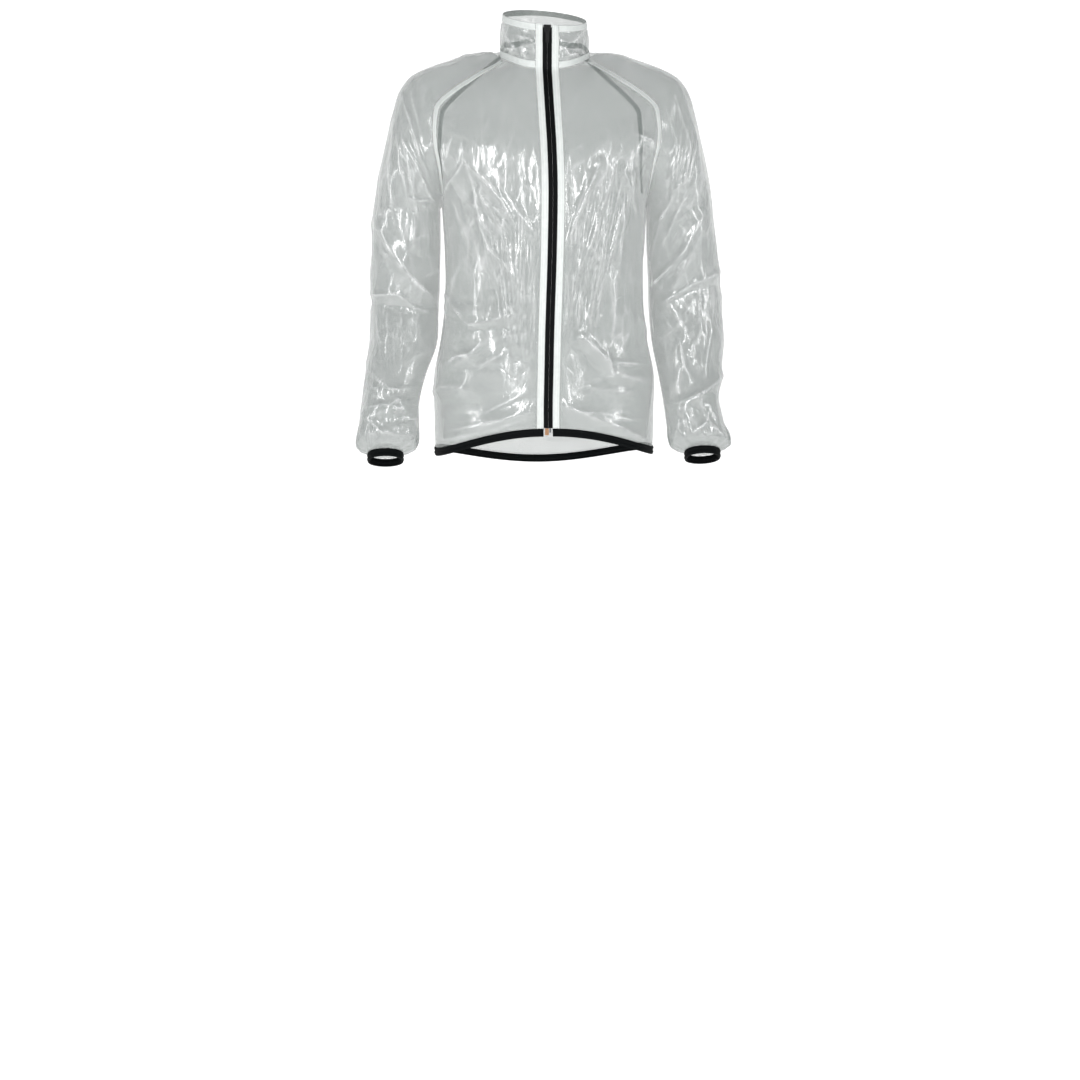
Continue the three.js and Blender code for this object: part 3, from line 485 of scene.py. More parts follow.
# The ridge attribute is above 0 on crests, where the film turns white as stress whitening and
# painted highlight, and below 0 on the flanks beside creases, where it turns darker as painted
# shade.
ridge = node(tree, "ShaderNodeAttribute", {"attribute_name": "ridge"}).outputs["Fac"]
patchy = node(tree, "ShaderNodeTexNoise", {"Scale": 1 / FILM_PATCH, "Detail": 3}, {"Vector": place})
broken = node(tree, "ShaderNodeMapRange", {"From Min": 0.3, "From Max": 0.58},
              {"Value": patchy.outputs["Fac"]})
wear_and_painted_crease_light = node(tree, "ShaderNodeMath", {"operation": "MULTIPLY"}, {0: ridge, 1: broken.outputs[0]})
painted_flank_shade = node(tree, "ShaderNodeMath", {"operation": "MULTIPLY", 1: -1.0}, {0: wear_and_painted_crease_light.outputs[0]})
# Painted shade: the film's grey darkened on the flanks beside its creases.
film_grey_with_painted_shade = node(tree, "ShaderNodeMix",
            {"data_type": "RGBA", 6: linear("#9fa5a2"), 7: linear("#6c7371")},
            {0: painted_flank_shade.outputs[0]})
# Crests whitened, part stress whitening and part painted highlight.
film_colour_with_painted_crease_light = node(tree, "ShaderNodeMix", {"data_type": "RGBA", 7: linear("#ffffff")},
             {0: wear_and_painted_crease_light.outputs[0], 6: film_grey_with_painted_shade.outputs[2]})
tree.links.new(film_colour_with_painted_crease_light.outputs[2], shader.inputs["Base Color"])
stretched = node(tree, "ShaderNodeMapping", {"Scale": (1, 1, 0.45)}, {"Vector": place})
grain = node(tree, "ShaderNodeTexNoise", {"Scale": 1 / FILM_GRAIN, "Detail": 2}, {"Vector": place})
crinkle = node(tree, "ShaderNodeTexVoronoi",
               {"feature": "DISTANCE_TO_EDGE", "Scale": 1 / FILM_CRINKLE},
               {"Vector": stretched.outputs[0]})
edge = node(tree, "ShaderNodeMapRange", {"From Max": 0.12, "To Min": 0, "To Max": 1},
            {"Value": crinkle.outputs["Distance"]})
rough = node(tree, "ShaderNodeMapRange", {"To Min": 0.1, "To Max": 0.24},
             {"Value": grain.outputs["Fac"]})
tree.links.new(rough.outputs[0], shader.inputs["Roughness"])
fine = node(tree, "ShaderNodeBump", {"Strength": 0.2, "Distance": 0.0003},
            {"Height": edge.outputs[0]})
bump = node(tree, "ShaderNodeBump", {"Strength": 0.12, "Distance": 0.0002},
            {"Height": grain.outputs["Fac"], "Normal": fine.outputs[0]})
tree.links.new(bump.outputs[0], shader.inputs["Normal"])


torso_at = np.linspace(0, 2, TORSO_ROW_COUNT)
SEWN = 0.012  # how far from a seam the film lies flat
PLEAT_CREASES = pleated(PLEATS)
fronts = {}
front_y, front_z = (smooth(FRONT_LINE, n, torso_at) for n in "yz")
for number, (name, side) in enumerate([("front_right", 1), ("front_left", -1)]):
    edge_x = side * smooth(FRONT_LINE, "sway", torso_at) - ZIP_HALF - SEAM_GAP
    centre = np.stack([edge_x, front_y, front_z], axis=1)
    grid, lengths = body_ribs(centre, FRONT_SEAM, -1, torso_at, np.linspace(0, 1, FRONT_COLUMNS))
    grid[:, :, 0] *= side
    sheet = sheet_of(grid, lambda p: (0, -1, 0))
    across, down = sheet["uv"].T
    far = np.repeat(lengths, FRONT_COLUMNS) - across
    sewn = fade(across - ZIP_BAND, SEWN) * fade(far - ZIP_BAND, SEWN)
    sewn *= fade(down, 2 * SEWN) * fade(down.max() - down, SEWN)
    folds = creased(FRONT_CREASES + PLEAT_CREASES, name, sheet)
    fronts[name] = lifted(sheet, [folds, crumple(sheet, number)], sewn)
    sheet["piece"] = cloth_piece(name + "_film", sheet, FILM, clear_film, [name])

# The back is one panel of the same film, from side seam to side seam, cut with a longer tail. It is
# not in view, so its folds are like the front's: pulls from both armpits and drags over the hips.
BACK_HALF_COLUMNS = 90
BACK_LINE = table("at y z", [
    (0.0, 0.061, 0.022),
    (0.2, 0.080, -0.015),
    (0.42, 0.097, -0.060),
    (0.6, 0.108, -0.104),
    (0.8, 0.114, -0.155),
    (1.0, 0.112, -0.214),
    (1.22, 0.099, -0.290),
    (1.4, 0.091, -0.349),
    (1.56, 0.092, -0.411),
    (1.72, 0.101, -0.471),
    (1.88, 0.111, -0.533),
    (2.0, 0.116, -0.588),
])
BACK_SEAM = table("at x y z arrive leave rise hold", [
    (0.0, -0.050, 0.034, 0.013, 52, 52, 0.1, 0.012),
    (0.2, -0.095, 0.062, -0.021, 40, 40, 0.42, 0.026),
    (0.42, -0.146, 0.076, -0.068, 40, 40, 0.35, 0.036),
    (0.5, -0.151, 0.082, -0.094, 48, 28, 0.15, 0.042),
    (0.6, -0.152, 0.082, -0.124, 58, 6, 0.05, 0.046),
    (0.7, -0.150, 0.070, -0.150, 68, -20, 0, 0.053),
    (0.84, -0.147, 0.042, -0.185, 80, -58, 0, 0.066),
    (1.0, -0.147, 0.003, -0.212, 90, -90, 0, 0.080),
])
BACK_CREASES = creases("back", 0, [
    (4, 15, 0.3, [(-130, -140), (-60, -190)]),
    (4, 15, 0.3, [(130, -140), (66, -196)]),
    (-3, 15, 0.1, [(-60, -190), (-44, -380)]),
    (3, 15, 0.2, [(52, -200), (68, -400)]),
    (4, 15, 0.4, [(-140, -400), (-40, -440)]),
    (4, 15, 0.4, [(140, -396), (30, -450)]),
    (3, 15, 0.3, [(-130, -520), (10, -500)]),
    (3, 6, 0.8, [(-140, -118), (-104, -158), (-70, -222)]),
    (3, 6, 0.8, [(142, -122), (110, -150), (80, -232), (72, -280)]),
    (2.5, 5, 0.8, [(-124, -190), (-82, -240), (-66, -330)]),
    (2.5, 5, 0.8, [(120, -200), (92, -262), (88, -350)]),
    (2, 5, 0.6, [(-30, -150), (-22, -250), (-34, -350)]),
    (2, 5, 0.6, [(20, -170), (30, -270), (18, -372)]),
    (3, 6, 0.8, [(-140, -340), (-90, -372), (-20, -366)]),
    (2.8, 6, 0.8, [(138, -330), (84, -368), (34, -372)]),
    (2.5, 6, 0.8, [(-146, -430), (-90, -452), (-10, -442)]),
    (2.5, 6, 0.8, [(150, -452), (90, -470), (40, -500)]),
    (3, 6, 0.8, [(-146, -536), (-80, -548), (-10, -530)]),
    (2.2, 6, 0.8, [(140, -528), (70, -552), (16, -560)]),
])
centre = np.stack([0 * torso_at, *(smooth(BACK_LINE, n, torso_at) for n in "yz")], axis=1)
half, lengths = body_ribs(centre, BACK_SEAM, 1, torso_at, np.linspace(0, 1, BACK_HALF_COLUMNS))
grid = np.concatenate([half[:, ::-1], half[:, 1:] * [-1, 1, 1]], axis=1)
back = sheet_of(grid, lambda p: (0, 1, 0))
across, down = back["uv"].T
width = np.repeat(2 * lengths, grid.shape[1])
sewn = fade(across - ZIP_BAND, SEWN) * fade(width - across - ZIP_BAND, SEWN)
sewn *= fade(down, 2 * SEWN) * fade(down.max() - down, SEWN)
folds = creased(BACK_CREASES + PLEAT_CREASES, "back", back)
lifted(back, [folds, crumple(back, 2)], sewn)
back["piece"] = cloth_piece("back_film", back, FILM, clear_film, ["back"])

# Two raglan sleeves, each one panel from the front seam over the shoulder to the back seam, closed
# under the arm and drawn in by an elastic cuff. They are a little too wide for the arm, so the film
# breaks into long slanting folds, flat facets at the elbow and fine gathers above the wrist.
SLEEVE_HALF_COLUMNS = 64
SHOULDER_LINE = table("at x y z", [
    (0.0, -0.062, -0.005, 0.001),
    (0.05, -0.077, -0.002, 0.006),
    (0.2, -0.125, 0.002, -0.001),
    (0.42, -0.187, 0.004, -0.026),
    (0.5, -0.205, 0.005, -0.046),
    (0.6, -0.216, 0.006, -0.077),
    (0.7, -0.224, 0.007, -0.110),
    (0.84, -0.236, 0.008, -0.163),
    (1.0, -0.244, 0.008, -0.213),
])
RING = "at x y z half_width half_depth tilt"
ARMS = {
    "right": table(RING, [
        (1.0, -0.1961, 0.0055, -0.2125, 0.0474, 0.060, 0),
        (1.15, -0.1985, 0.008, -0.262, 0.0495, 0.060, 0),
        (1.32, -0.201, 0.012, -0.318, 0.0505, 0.058, 2),
        (1.46, -0.2025, 0.010, -0.362, 0.0495, 0.056, 10),
        (1.6, -0.205, -0.004, -0.405, 0.049, 0.054, 19),
        (1.74, -0.2165, -0.023, -0.449, 0.0435, 0.050, 24),
        (1.86, -0.2245, -0.042, -0.490, 0.0415, 0.047, 25),
        (1.93, -0.227, -0.054, -0.518, 0.044, 0.0465, 25),
        (1.975, -0.230, -0.066, -0.547, 0.044, 0.043, 25),
        (2.0, -0.232, -0.0695, -0.556, 0.0255, 0.0285, 25),
    ]),
    "left": table(RING, [
        (1.0, 0.1961, 0.0055, -0.2125, 0.0474, 0.060, 0),
        (1.15, 0.200, 0.008, -0.262, 0.0505, 0.060, 0),
        (1.32, 0.206, 0.012, -0.318, 0.053, 0.058, 2),
        (1.46, 0.208, 0.010, -0.362, 0.0535, 0.056, 10),
        (1.6, 0.211, -0.004, -0.405, 0.053, 0.054, 19),
        (1.74, 0.2115, -0.023, -0.449, 0.0455, 0.050, 24),
        (1.86, 0.212, -0.042, -0.490, 0.040, 0.047, 25),
        (1.93, 0.2165, -0.054, -0.518, 0.0415, 0.0465, 25),
        (1.975, 0.2235, -0.066, -0.547, 0.0445, 0.043, 25),
        (2.0, 0.2255, -0.0695, -0.556, 0.0255, 0.0285, 25),
    ]),
}
SLEEVE_CREASES = creases("sleeve_right", 0, [
    # large soft folds
    (5, 13, 0.3, [(-240, -232), (-160, -352)]),
    (-5, 11, 0.2, [(-252, -347), (-176, -350)]),
    (5, 12, 0.4, [(-244, -430), (-207, -486)]),
    (5, 11, 0.4, [(-207, -486), (-256, -500)]),
    (4, 10, 0.4, [(-258, -524), (-196, -512)]),
    (4, 14, 0.2, [(-190, -70), (-228, -236)]),
]) + creases("sleeve_left", 0, [
    (5, 13, 0.3, [(223, -234), (164, -380)]),
    (-5, 11, 0.2, [(256, -322), (190, -330)]),
    (4, 11, 0.4, [(177, -341), (212, -404)]),
    (6, 12, 0.4, [(254, -452), (190, -494)]),
    (-4, 10, 0.2, [(206, -488), (250, -520)]),
    (4, 14, 0.2, [(190, -66), (225, -236)]),
]) + creases("sleeve_right", -1, [
    # right sleeve, from the shoulder down
    (3, 5, 0.8, [(-189, -50), (-176, -102), (-160, -136)]),
    (3.5, 6, 0.9, [(-198, -116), (-192, -165), (-184, -209), (-189, -262)]),
    (3.5, 5, 0.9, [(-203, -51), (-184, -107), (-178, -136), (-152, -194)]),
    (3, 5, 0.9, [(-199, -116), (-188, -138), (-175, -170), (-162, -198)]),
    (3, 5, 0.9, [(-194, -196), (-178, -199), (-162, -198)]),
    (2.8, 6, 0.8, [(-212, -86), (-218, -165), (-215, -209)]),
    (2, 4, 0.8, [(-206, -110), (-204, -150), (-196, -190)]),
    (3.5, 6, 0.9, [(-240, -230), (-222, -264), (-188, -312), (-152, -350)]),
    (2, 5, 0.8, [(-232, -270), (-200, -296)]),
    (3.5, 5, 0.9, [(-250, -334), (-212, -330), (-190, -350), (-160, -360)]),
    (2.5, 5, 0.9, [(-228, -359), (-225, -388)]),
    (3, 5, 0.9, [(-250, -440), (-226, -463), (-190, -463)]),
    (3.5, 5, 0.9, [(-252, -458), (-212, -480), (-257, -490)]),
    (3, 5, 0.9, [(-256, -492), (-228, -484), (-198, -496), (-186, -516)]),
    (3, 5, 0.9, [(-262, -497), (-236, -521), (-194, -528)]),
]) + creases("sleeve_left", -1, [
    # left sleeve, from the shoulder down
    (3, 5, 0.8, [(184, -43), (170, -96), (165, -130)]),
    (3, 5, 0.8, [(180, -54), (198, -116), (194, -200), (168, -262)]),
    (2.8, 5, 0.8, [(194, -54), (212, -116), (215, -165)]),
    (3.5, 6, 0.9, [(223, -216), (198, -270), (146, -336)]),
    (3, 5, 0.9, [(187, -178), (166, -226)]),
    (3.5, 5, 0.9, [(256, -302), (212, -318), (166, -348)]),
    (3, 5, 0.9, [(222, -320), (222, -382), (208, -410), (222, -436)]),
    (3, 5, 0.9, [(194, -400), (198, -435), (212, -458)]),
    (3.5, 5, 0.9, [(256, -449), (212, -476), (174, -492)]),
    (3, 5, 0.9, [(212, -476), (236, -516), (252, -530)]),
    (2.5, 5, 0.9, [(208, -525), (226, -511), (234, -492)]),
]) + creases("sleeve_right", 1, [
    # the backs of the sleeves
    (3, 6, 0.8, [(-180, -60), (-204, -130), (-196, -230)]),
    (3, 6, 0.8, [(-170, -160), (-206, -240), (-236, -300)]),
    (3.5, 5, 0.9, [(-246, -345), (-206, -368), (-170, -352)]),
    (3, 5, 0.9, [(-240, -392), (-200, -408), (-176, -390)]),
    (3, 5, 0.9, [(-246, -440), (-222, -480), (-196, -512)]),
]) + creases("sleeve_left", 1, [
    (3, 6, 0.8, [(178, -62), (206, -140), (200, -222)]),
    (3, 6, 0.8, [(172, -170), (204, -236), (240, -282)]),
    (3.5, 5, 0.9, [(252, -340), (214, -362), (172, -350)]),
    (3, 5, 0.9, [(250, -396), (210, -410), (176, -384)]),
    (3, 5, 0.9, [(240, -440), (210, -484), (190, -520)]),
])
BACK_OF_SLEEVE = 0.7
GATHERS = 16
GATHER_DEPTH = 0.002
GATHERED = table("at drawn", [(1.93, 0), (1.965, 0.9), (1.99, 1), (2.0, 0.5)])
SLEEVE_SEWN = 0.016
WRIST_FADE = 0.02


def sleeve_ribs(arm, side, at, spots):
    """Front and back halves of a sleeve's ribs, both from the seam to the shoulder line."""
    halves = []
    upper, lower = at[at < 1], at[at >= 1]
    turned = np.array([-side, 1, 1])
    top = np.stack([smooth(SHOULDER_LINE, n, upper) for n in "xyz"], axis=1) * turned
    centre = np.stack([smooth(arm, n, lower) for n in "xyz"], axis=1)
    tilt = np.radians(smooth(arm, "tilt", lower))
    half_width = np.stack([-side * smooth(arm, "half_width", lower), 0 * lower, 0 * lower], axis=1)
    reach = (4 / 3) * smooth(arm, "half_depth", lower)[:, None]
    for seam, facing in ((FRONT_SEAM, -1), (BACK_SEAM, 1)):
        start = np.stack([smooth(seam, n, upper) for n in "xyz"], axis=1) * turned
        leave = np.radians(smooth(seam, "leave", upper))
        rise = smooth(seam, "rise", upper)
        heading = np.stack([side * np.cos(leave), -facing * np.sin(leave), rise], axis=1)
        hold = smooth(seam, "hold", upper)[:, None]
        open_ribs, _ = ribs(start, start + heading * hold, top + hold * [0, facing, 0], top, spots,
                            SEAM_GAP / 2, 0)
        out = np.stack([0 * tilt, facing * np.cos(tilt), -facing * np.sin(tilt)], axis=1) * reach
        inner, outer = centre + half_width, centre - half_width
        closed_ribs, _ = ribs(inner, inner + out, outer + out, outer, spots)
        halves.append(np.concatenate([open_ribs, closed_ribs]))
    return halves


ELBOW_ROWS, GATHER_ROWS = 95, 26
GATHER_AT = GATHERED[0]["at"]
sleeve_at = np.concatenate([
    np.linspace(0, 1, ELBOW_ROWS)[:-1],
    np.linspace(1, GATHER_AT, ELBOW_ROWS)[:-1],
    np.linspace(GATHER_AT, 2, GATHER_ROWS),
])
sleeves = {}
for number, (name, side) in enumerate([("right", -1), ("left", 1)]):
    near, far = sleeve_ribs(ARMS[name], side, sleeve_at, np.linspace(0, 1, SLEEVE_HALF_COLUMNS))
    grid = np.concatenate([near, far[:, -2::-1]], axis=1)
    closed = sleeve_at >= 1
    grid[closed, -1] = grid[closed, 0]
    columns = grid.shape[1]
    turn = np.linspace(0, 2 * np.pi, columns)
    wander = 0.5 * np.sin(3 * turn + number) + 0.35 * np.sin(5 * turn + 2)
    uneven = 0.8 + 0.3 * np.sin(4 * turn + 1 + number) + 0.2 * np.sin(7 * turn)
    wave = uneven * (np.cos(GATHERS * turn + wander) - 1) / 2
    wave[-1] = wave[0]
    drawn = np.interp(sleeve_at, *([row[n] for row in GATHERED] for n in ("at", "drawn")))
    middles = np.stack([smooth(ARMS[name], n, np.maximum(sleeve_at, 1)) for n in "xyz"], axis=1)
    out = grid - middles[:, None, :]
    out /= np.maximum(np.linalg.norm(out, axis=2, keepdims=True), 1e-9)
    grid = grid + out * (2 * GATHER_DEPTH * drawn[:, None] * wave[None, :])[:, :, None]
    sheet = sheet_of(grid, lambda p: (side, 0, 0.2))
    across, down = sheet["uv"].T
    first_row = np.full(len(sheet["points"]), len(sleeve_at))
    np.minimum.at(first_row, sheet["index"], np.arange(len(sleeve_at))[:, None])
    width = run_along(grid)[first_row, -1]
    sewn = fade(across - SEWN, SLEEVE_SEWN) * fade(width - across - SEWN, SLEEVE_SEWN)
    sewn *= fade(down, 2 * SEWN) * fade(down.max() - down - SEWN, WRIST_FADE)
    folds = creased(SLEEVE_CREASES + PLEAT_CREASES, "sleeve_" + name, sheet, BACK_OF_SLEEVE)
    sleeves[name] = lifted(sheet, [folds, crumple(sheet, 3 + number, "sleeve")], sewn)
    parts = ["sleeve_upper_" + name, "sleeve_lower_" + name]
    sheet["piece"] = cloth_piece("sleeve_" + name + "_film", sheet, FILM, clear_film, parts)

# The stand collar, a strip of the same film round the neck between the two ends of the zip. It is
# higher at the back, leans with the neck, and has been folded flat, which left bright creases.
COLLAR_HALF_WIDTH = 0.058
COLLAR_HALF_DEPTH = 0.062
COLLAR_TOP_Y = -0.011
COLLAR_TOP_Z = 0.0535
COLLAR_LEAN = 0.0135
COLLAR_TILT = 0.0045
NECK_MIDDLE = -0.005
COLLAR_SWELL = 0.0025
COLLAR_COLUMNS = 220
COLLAR_ROWS = 40
COLLAR_SEWN = 0.006
NECK_TAPE = (0.025, 0.19)  # shares of the collar's height
COLLAR_HEM = (0.83, 1.0)
CREASED = (0.17, 0.86)
COLLAR_FADE = 0.12
COLLAR_CREASES = creases("collar", -1, [
    (4.0, 6, 0.9, [(-40, 27), (-26, 22), (-18, 19)]),
    (3.6, 6, 0.9, [(-38, 24), (-34, 14), (-18, 17)]),
    (3.6, 6, 0.9, [(-34, 12), (-34, 4), (-26, -8)]),
    (3.4, 6, 0.8, [(-56, 34), (-46, 12), (-50, -4)]),
    (3.6, 6, 0.9, [(15, 22), (28, 16), (38, 20), (50, 30)]),
    (-3.0, 6, 0.8, [(24, 8), (52, 12)]),
    (3.6, 6, 0.9, [(16, 6), (24, 10), (30, 0), (46, 2)]),
]) + creases("collar", 1, [
    (3.4, 6, 0.9, [(-40, 50), (-22, 36), (-30, 26)]),
    (3.4, 6, 0.9, [(10, 52), (20, 38), (40, 42)]),
    (3.0, 6, 0.8, [(-10, 34), (6, 40), (16, 32)]),
])


def row_of(sheet, number):
    """A row of a sheet before its creases, as a line of points and normals."""
    index = sheet["index"][number]
    return np.concatenate([sheet["base"][index], sheet["base_normal"][index]], axis=1)


neck = np.concatenate([
    row_of(fronts["front_right"], 0),
    row_of(sleeves["right"], 0),
    row_of(back, 0),
    row_of(sleeves["left"], 0)[::-1],
    row_of(fronts["front_left"], 0)[::-1],
])[:, :3]
run = run_along(neck)
spots = np.linspace(0, run[-1], COLLAR_COLUMNS)
feet = picked(neck, run, spots)
angle = np.arctan2(-feet[:, 0], NECK_MIDDLE - feet[:, 1])
outward = np.stack([-np.sin(angle), -np.cos(angle), 0 * angle], axis=1)
from_zip = np.minimum(spots, run[-1] - spots)
top = np.stack([
    -COLLAR_HALF_WIDTH * np.sin(angle),
    COLLAR_TOP_Y - COLLAR_HALF_DEPTH * np.cos(angle),
    COLLAR_TOP_Z - COLLAR_LEAN * np.cos(angle) + COLLAR_TILT * np.sin(angle),
], axis=1)
top[:, 0] += (feet[:, 0] - top[:, 0]) * np.clip(1 - from_zip / ZIP_BAND, 0, 1)
collar_share = np.linspace(1, 0, COLLAR_ROWS)
share = collar_share[:, None, None]
swell = COLLAR_SWELL * np.sin(np.pi * share) * (np.sin(angle / 2) ** 2)[None, :, None]
grid = (feet + [0, 0, SEAM_GAP]) * (1 - share) + top * share + outward * swell
collar = sheet_of(grid, lambda p: (p[0], p[1] - NECK_MIDDLE, 0))
across, down = collar["uv"].T
width = np.repeat(across[collar["index"][:, -1]], COLLAR_COLUMNS)
sewn = fade(across - ZIP_BAND, COLLAR_SEWN) * fade(width - across - ZIP_BAND, COLLAR_SEWN)
up_share = np.repeat(collar_share, COLLAR_COLUMNS)
sewn *= fade(up_share - CREASED[0], COLLAR_FADE) * fade(CREASED[1] - up_share, COLLAR_FADE)
lifted(collar, [creased(COLLAR_CREASES, "collar", collar), crumple(collar, 6)], sewn)
collar["piece"] = cloth_piece("collar_film", collar, FILM, clear_film, ["collar"])

# White tape covers the raglan seams, the collar's seam and its turned top edge, and a folded,
# stitched band lies along each side of the zip. All are woven polyester, a little puckered by the
# thread, and much less clear than the film.
TAPE = 0.0007
TAPE_FACE = SEAM_GAP + TAPE
RAGLAN_TAPE = 0.0095
TAPE_INSET = 0.002
PUCKER = 0.00035
PUCKER_WIDE = 1 / 160
STITCH_OUT = 0.0001
WEAVE = 0.0009
CLOUD = 0.006
TWIST = 0.0012
white_tape, tree, shader, place = new_material("white woven polyester tape", {"Roughness": 0.55})
cloudy = node(tree, "ShaderNodeTexNoise", {"Scale": 1 / CLOUD, "Detail": 3}, {"Vector": place})
shade = node(tree, "ShaderNodeMix",
             {"data_type": "RGBA", 6: linear("#c6cbc8"), 7: linear("#e2e5e3")},
             {0: cloudy.outputs["Fac"]})
tree.links.new(shade.outputs[2], shader.inputs["Base Color"])
weave = node(tree, "ShaderNodeTexVoronoi", {"Scale": 1 / WEAVE}, {"Vector": place})
bump = node(tree, "ShaderNodeBump", {"Strength": 0.5, "Distance": 0.0002},
            {"Height": weave.outputs["Distance"]})
tree.links.new(bump.outputs[0], shader.inputs["Normal"])

THREAD_LOOK = {"Base Color": linear("#fafaf9"), "Roughness": 0.45}
white_thread, tree, shader, place = new_material("white polyester thread", THREAD_LOOK)
twist = node(tree, "ShaderNodeTexWave", {"Scale": 1 / TWIST, "bands_direction": "DIAGONAL"},
             {"Vector": place})
bump = node(tree, "ShaderNodeBump", {"Strength": 0.3, "Distance": 0.0001},
            {"Height": twist.outputs["Fac"]})
tree.links.new(bump.outputs[0], shader.inputs["Normal"])


def strip_of(sheet, rows, start, end, columns, from_end=False):
    """Points and normals of a strip of a sheet, on the given rows, between two distances from its
    first column, or from its last."""
    made = []
    for row in rows:
        line = row_of(sheet, row)
        line = line[::-1] if from_end else line
        run = run_along(line[:, :3])
        stop = end if end > 0 else run[-1] + end
        made.append(picked(line, run, np.linspace(start, stop, columns)))
    made = np.stack(made)
    made[:, :, 3:] /= np.linalg.norm(made[:, :, 3:], axis=2, keepdims=True)
    return made


def strip_piece(name, made, outside, thickness, material, replaced, pucker=0.0):
    """A strip as a mesh piece: its points moved out to their outer face, with walls inwards."""
    rows, columns, _ = made.shape
    out = np.broadcast_to(np.asarray(outside, float), (rows, columns)).copy()
    if pucker:
        spots = (made[:, :, :3] / PUCKER_WIDE).reshape(-1, 3)
        uneven = [mathutils.noise.noise(mathutils.Vector(p)) for p in spots]
        out += pucker * np.array(uneven).reshape(rows, columns)
    sheet = sheet_of(made[:, :, :3] + made[:, :, 3:] * out[:, :, None], lambda p: (0, 0, 0))
    if (sheet["normal"][sheet["index"]] * made[:, :, 3:]).sum() < 0:
        sheet["quads"] = sheet["quads"][:, ::-1]
    return cloth_piece(name, sheet, thickness, material, replaced)


# One node tree lays short lengths of thread along a path, each turned from it by a slant that
# changes sides, so that it makes straight stitches, zigzags and the turns of a coil.
def thread_tree():
    """The node tree that lays threads along a path."""
    tree = bpy.data.node_groups.new("threads along a path", "GeometryNodeTree")
    face = tree.interface
    face.new_socket("Path", in_out="INPUT", socket_type="NodeSocketGeometry")
    for name in ("Pitch", "Length", "Thread", "Slant"):
        face.new_socket(name, in_out="INPUT", socket_type="NodeSocketFloat")
    face.new_socket("Finish", in_out="INPUT", socket_type="NodeSocketMaterial")
    face.new_socket("Threads", in_out="OUTPUT", socket_type="NodeSocketGeometry")
    given = tree.nodes.new("NodeGroupInput").outputs
    curve = node(tree, "GeometryNodeMeshToCurve", None, {0: given["Path"]})
    spaced = node(tree, "GeometryNodeResampleCurve", {"mode": "LENGTH"},
                  {"Curve": curve.outputs[0], "Length": given["Pitch"]})
    along = node(tree, "GeometryNodeInputTangent")
    out = node(tree, "GeometryNodeInputNamedAttribute",
               {"data_type": "FLOAT_VECTOR", "Name": "out"})
    facing = node(tree, "FunctionNodeAxesToRotation", {"primary_axis": "X", "secondary_axis": "Z"},
                  {"Primary Axis": along.outputs[0], "Secondary Axis": out.outputs[0]})
    number = node(tree, "GeometryNodeInputIndex")
    odd = node(tree, "ShaderNodeMath", {"operation": "MODULO", 1: 2.0}, {0: number.outputs[0]})
    sign = node(tree, "ShaderNodeMath", {"operation": "MULTIPLY_ADD", 1: 2.0, 2: -1.0},
                {0: odd.outputs[0]})
    slant = node(tree, "ShaderNodeMath", {"operation": "MULTIPLY"},
                 {0: sign.outputs[0], 1: given["Slant"]})
    turn = node(tree, "FunctionNodeAxisAngleToRotation", {"Axis": (0, 0, 1)},
                {"Angle": slant.outputs[0]})
    turned = node(tree, "FunctionNodeRotateRotation", {"rotation_space": "LOCAL"},
                  {"Rotation": facing.outputs[0], "Rotate By": turn.outputs[0]})
    bead = node(tree, "GeometryNodeMeshUVSphere", {"Segments": 6, "Rings": 4, "Radius": 0.5})
    size = node(tree, "ShaderNodeCombineXYZ", None,
                {"X": given["Length"], "Y": given["Thread"], "Z": given["Thread"]})
    shaped = node(tree, "GeometryNodeTransform", None,
                  {"Geometry": bead.outputs[0], "Scale": size.outputs[0]})
    laid = node(tree, "GeometryNodeInstanceOnPoints", None,
                {"Points": spaced.outputs[0], "Instance": shaped.outputs[0],
                 "Rotation": turned.outputs[0]})
    real = node(tree, "GeometryNodeRealizeInstances", None, {0: laid.outputs[0]})
    soft = node(tree, "GeometryNodeSetShadeSmooth", None, {0: real.outputs[0]})
    finished = node(tree, "GeometryNodeSetMaterial", None,
                    {"Geometry": soft.outputs[0], "Material": given["Finish"]})
    result = tree.nodes.new("NodeGroupOutput")
    tree.links.new(finished.outputs[0], result.inputs[0])
    return tree


THREADS = thread_tree()


def threads(name, lines, pitch, length, thick, slant, material, slot, replaced=()):
    """Thread laid along lines of points and normals, as one plain mesh piece."""
    points = np.concatenate([line[:, :3] for line in lines])
    edges, start = [], 0
    for line in lines:
        edges += [(start + i, start + i + 1) for i in range(len(line) - 1)]
        start += len(line)
    mesh = bpy.data.meshes.new(name + " path")
    mesh.from_pydata(points.tolist(), edges, [])
    out = np.concatenate([line[:, 3:] for line in lines])
    mesh.attributes.new("out", "FLOAT_VECTOR", "POINT").data.foreach_set("vector", out.ravel())
    path = put(name + " path", mesh)
    grower = path.modifiers.new("threads", "NODES")
    grower.node_group = THREADS
    values = {"Pitch": pitch, "Length": length, "Thread": thick, "Slant": slant, "Finish": material}
    for item in THREADS.interface.items_tree:
        if item.name in values:
            grower[item.identifier] = values[item.name]
    bpy.context.view_layer.update()
    evaluated = path.evaluated_get(bpy.context.evaluated_depsgraph_get())
    piece = put(name, bpy.data.meshes.new_from_object(evaluated))
    bpy.data.objects.remove(path)
    return declared(piece, replaced)


def white_strip(panel, name, made, pucker=PUCKER):
    """A white strip that is sewn to a panel."""
    on[panel].append(strip_piece(name + "_woven", made, TAPE_FACE, TAPE, white_tape, [name],
                                 pucker))


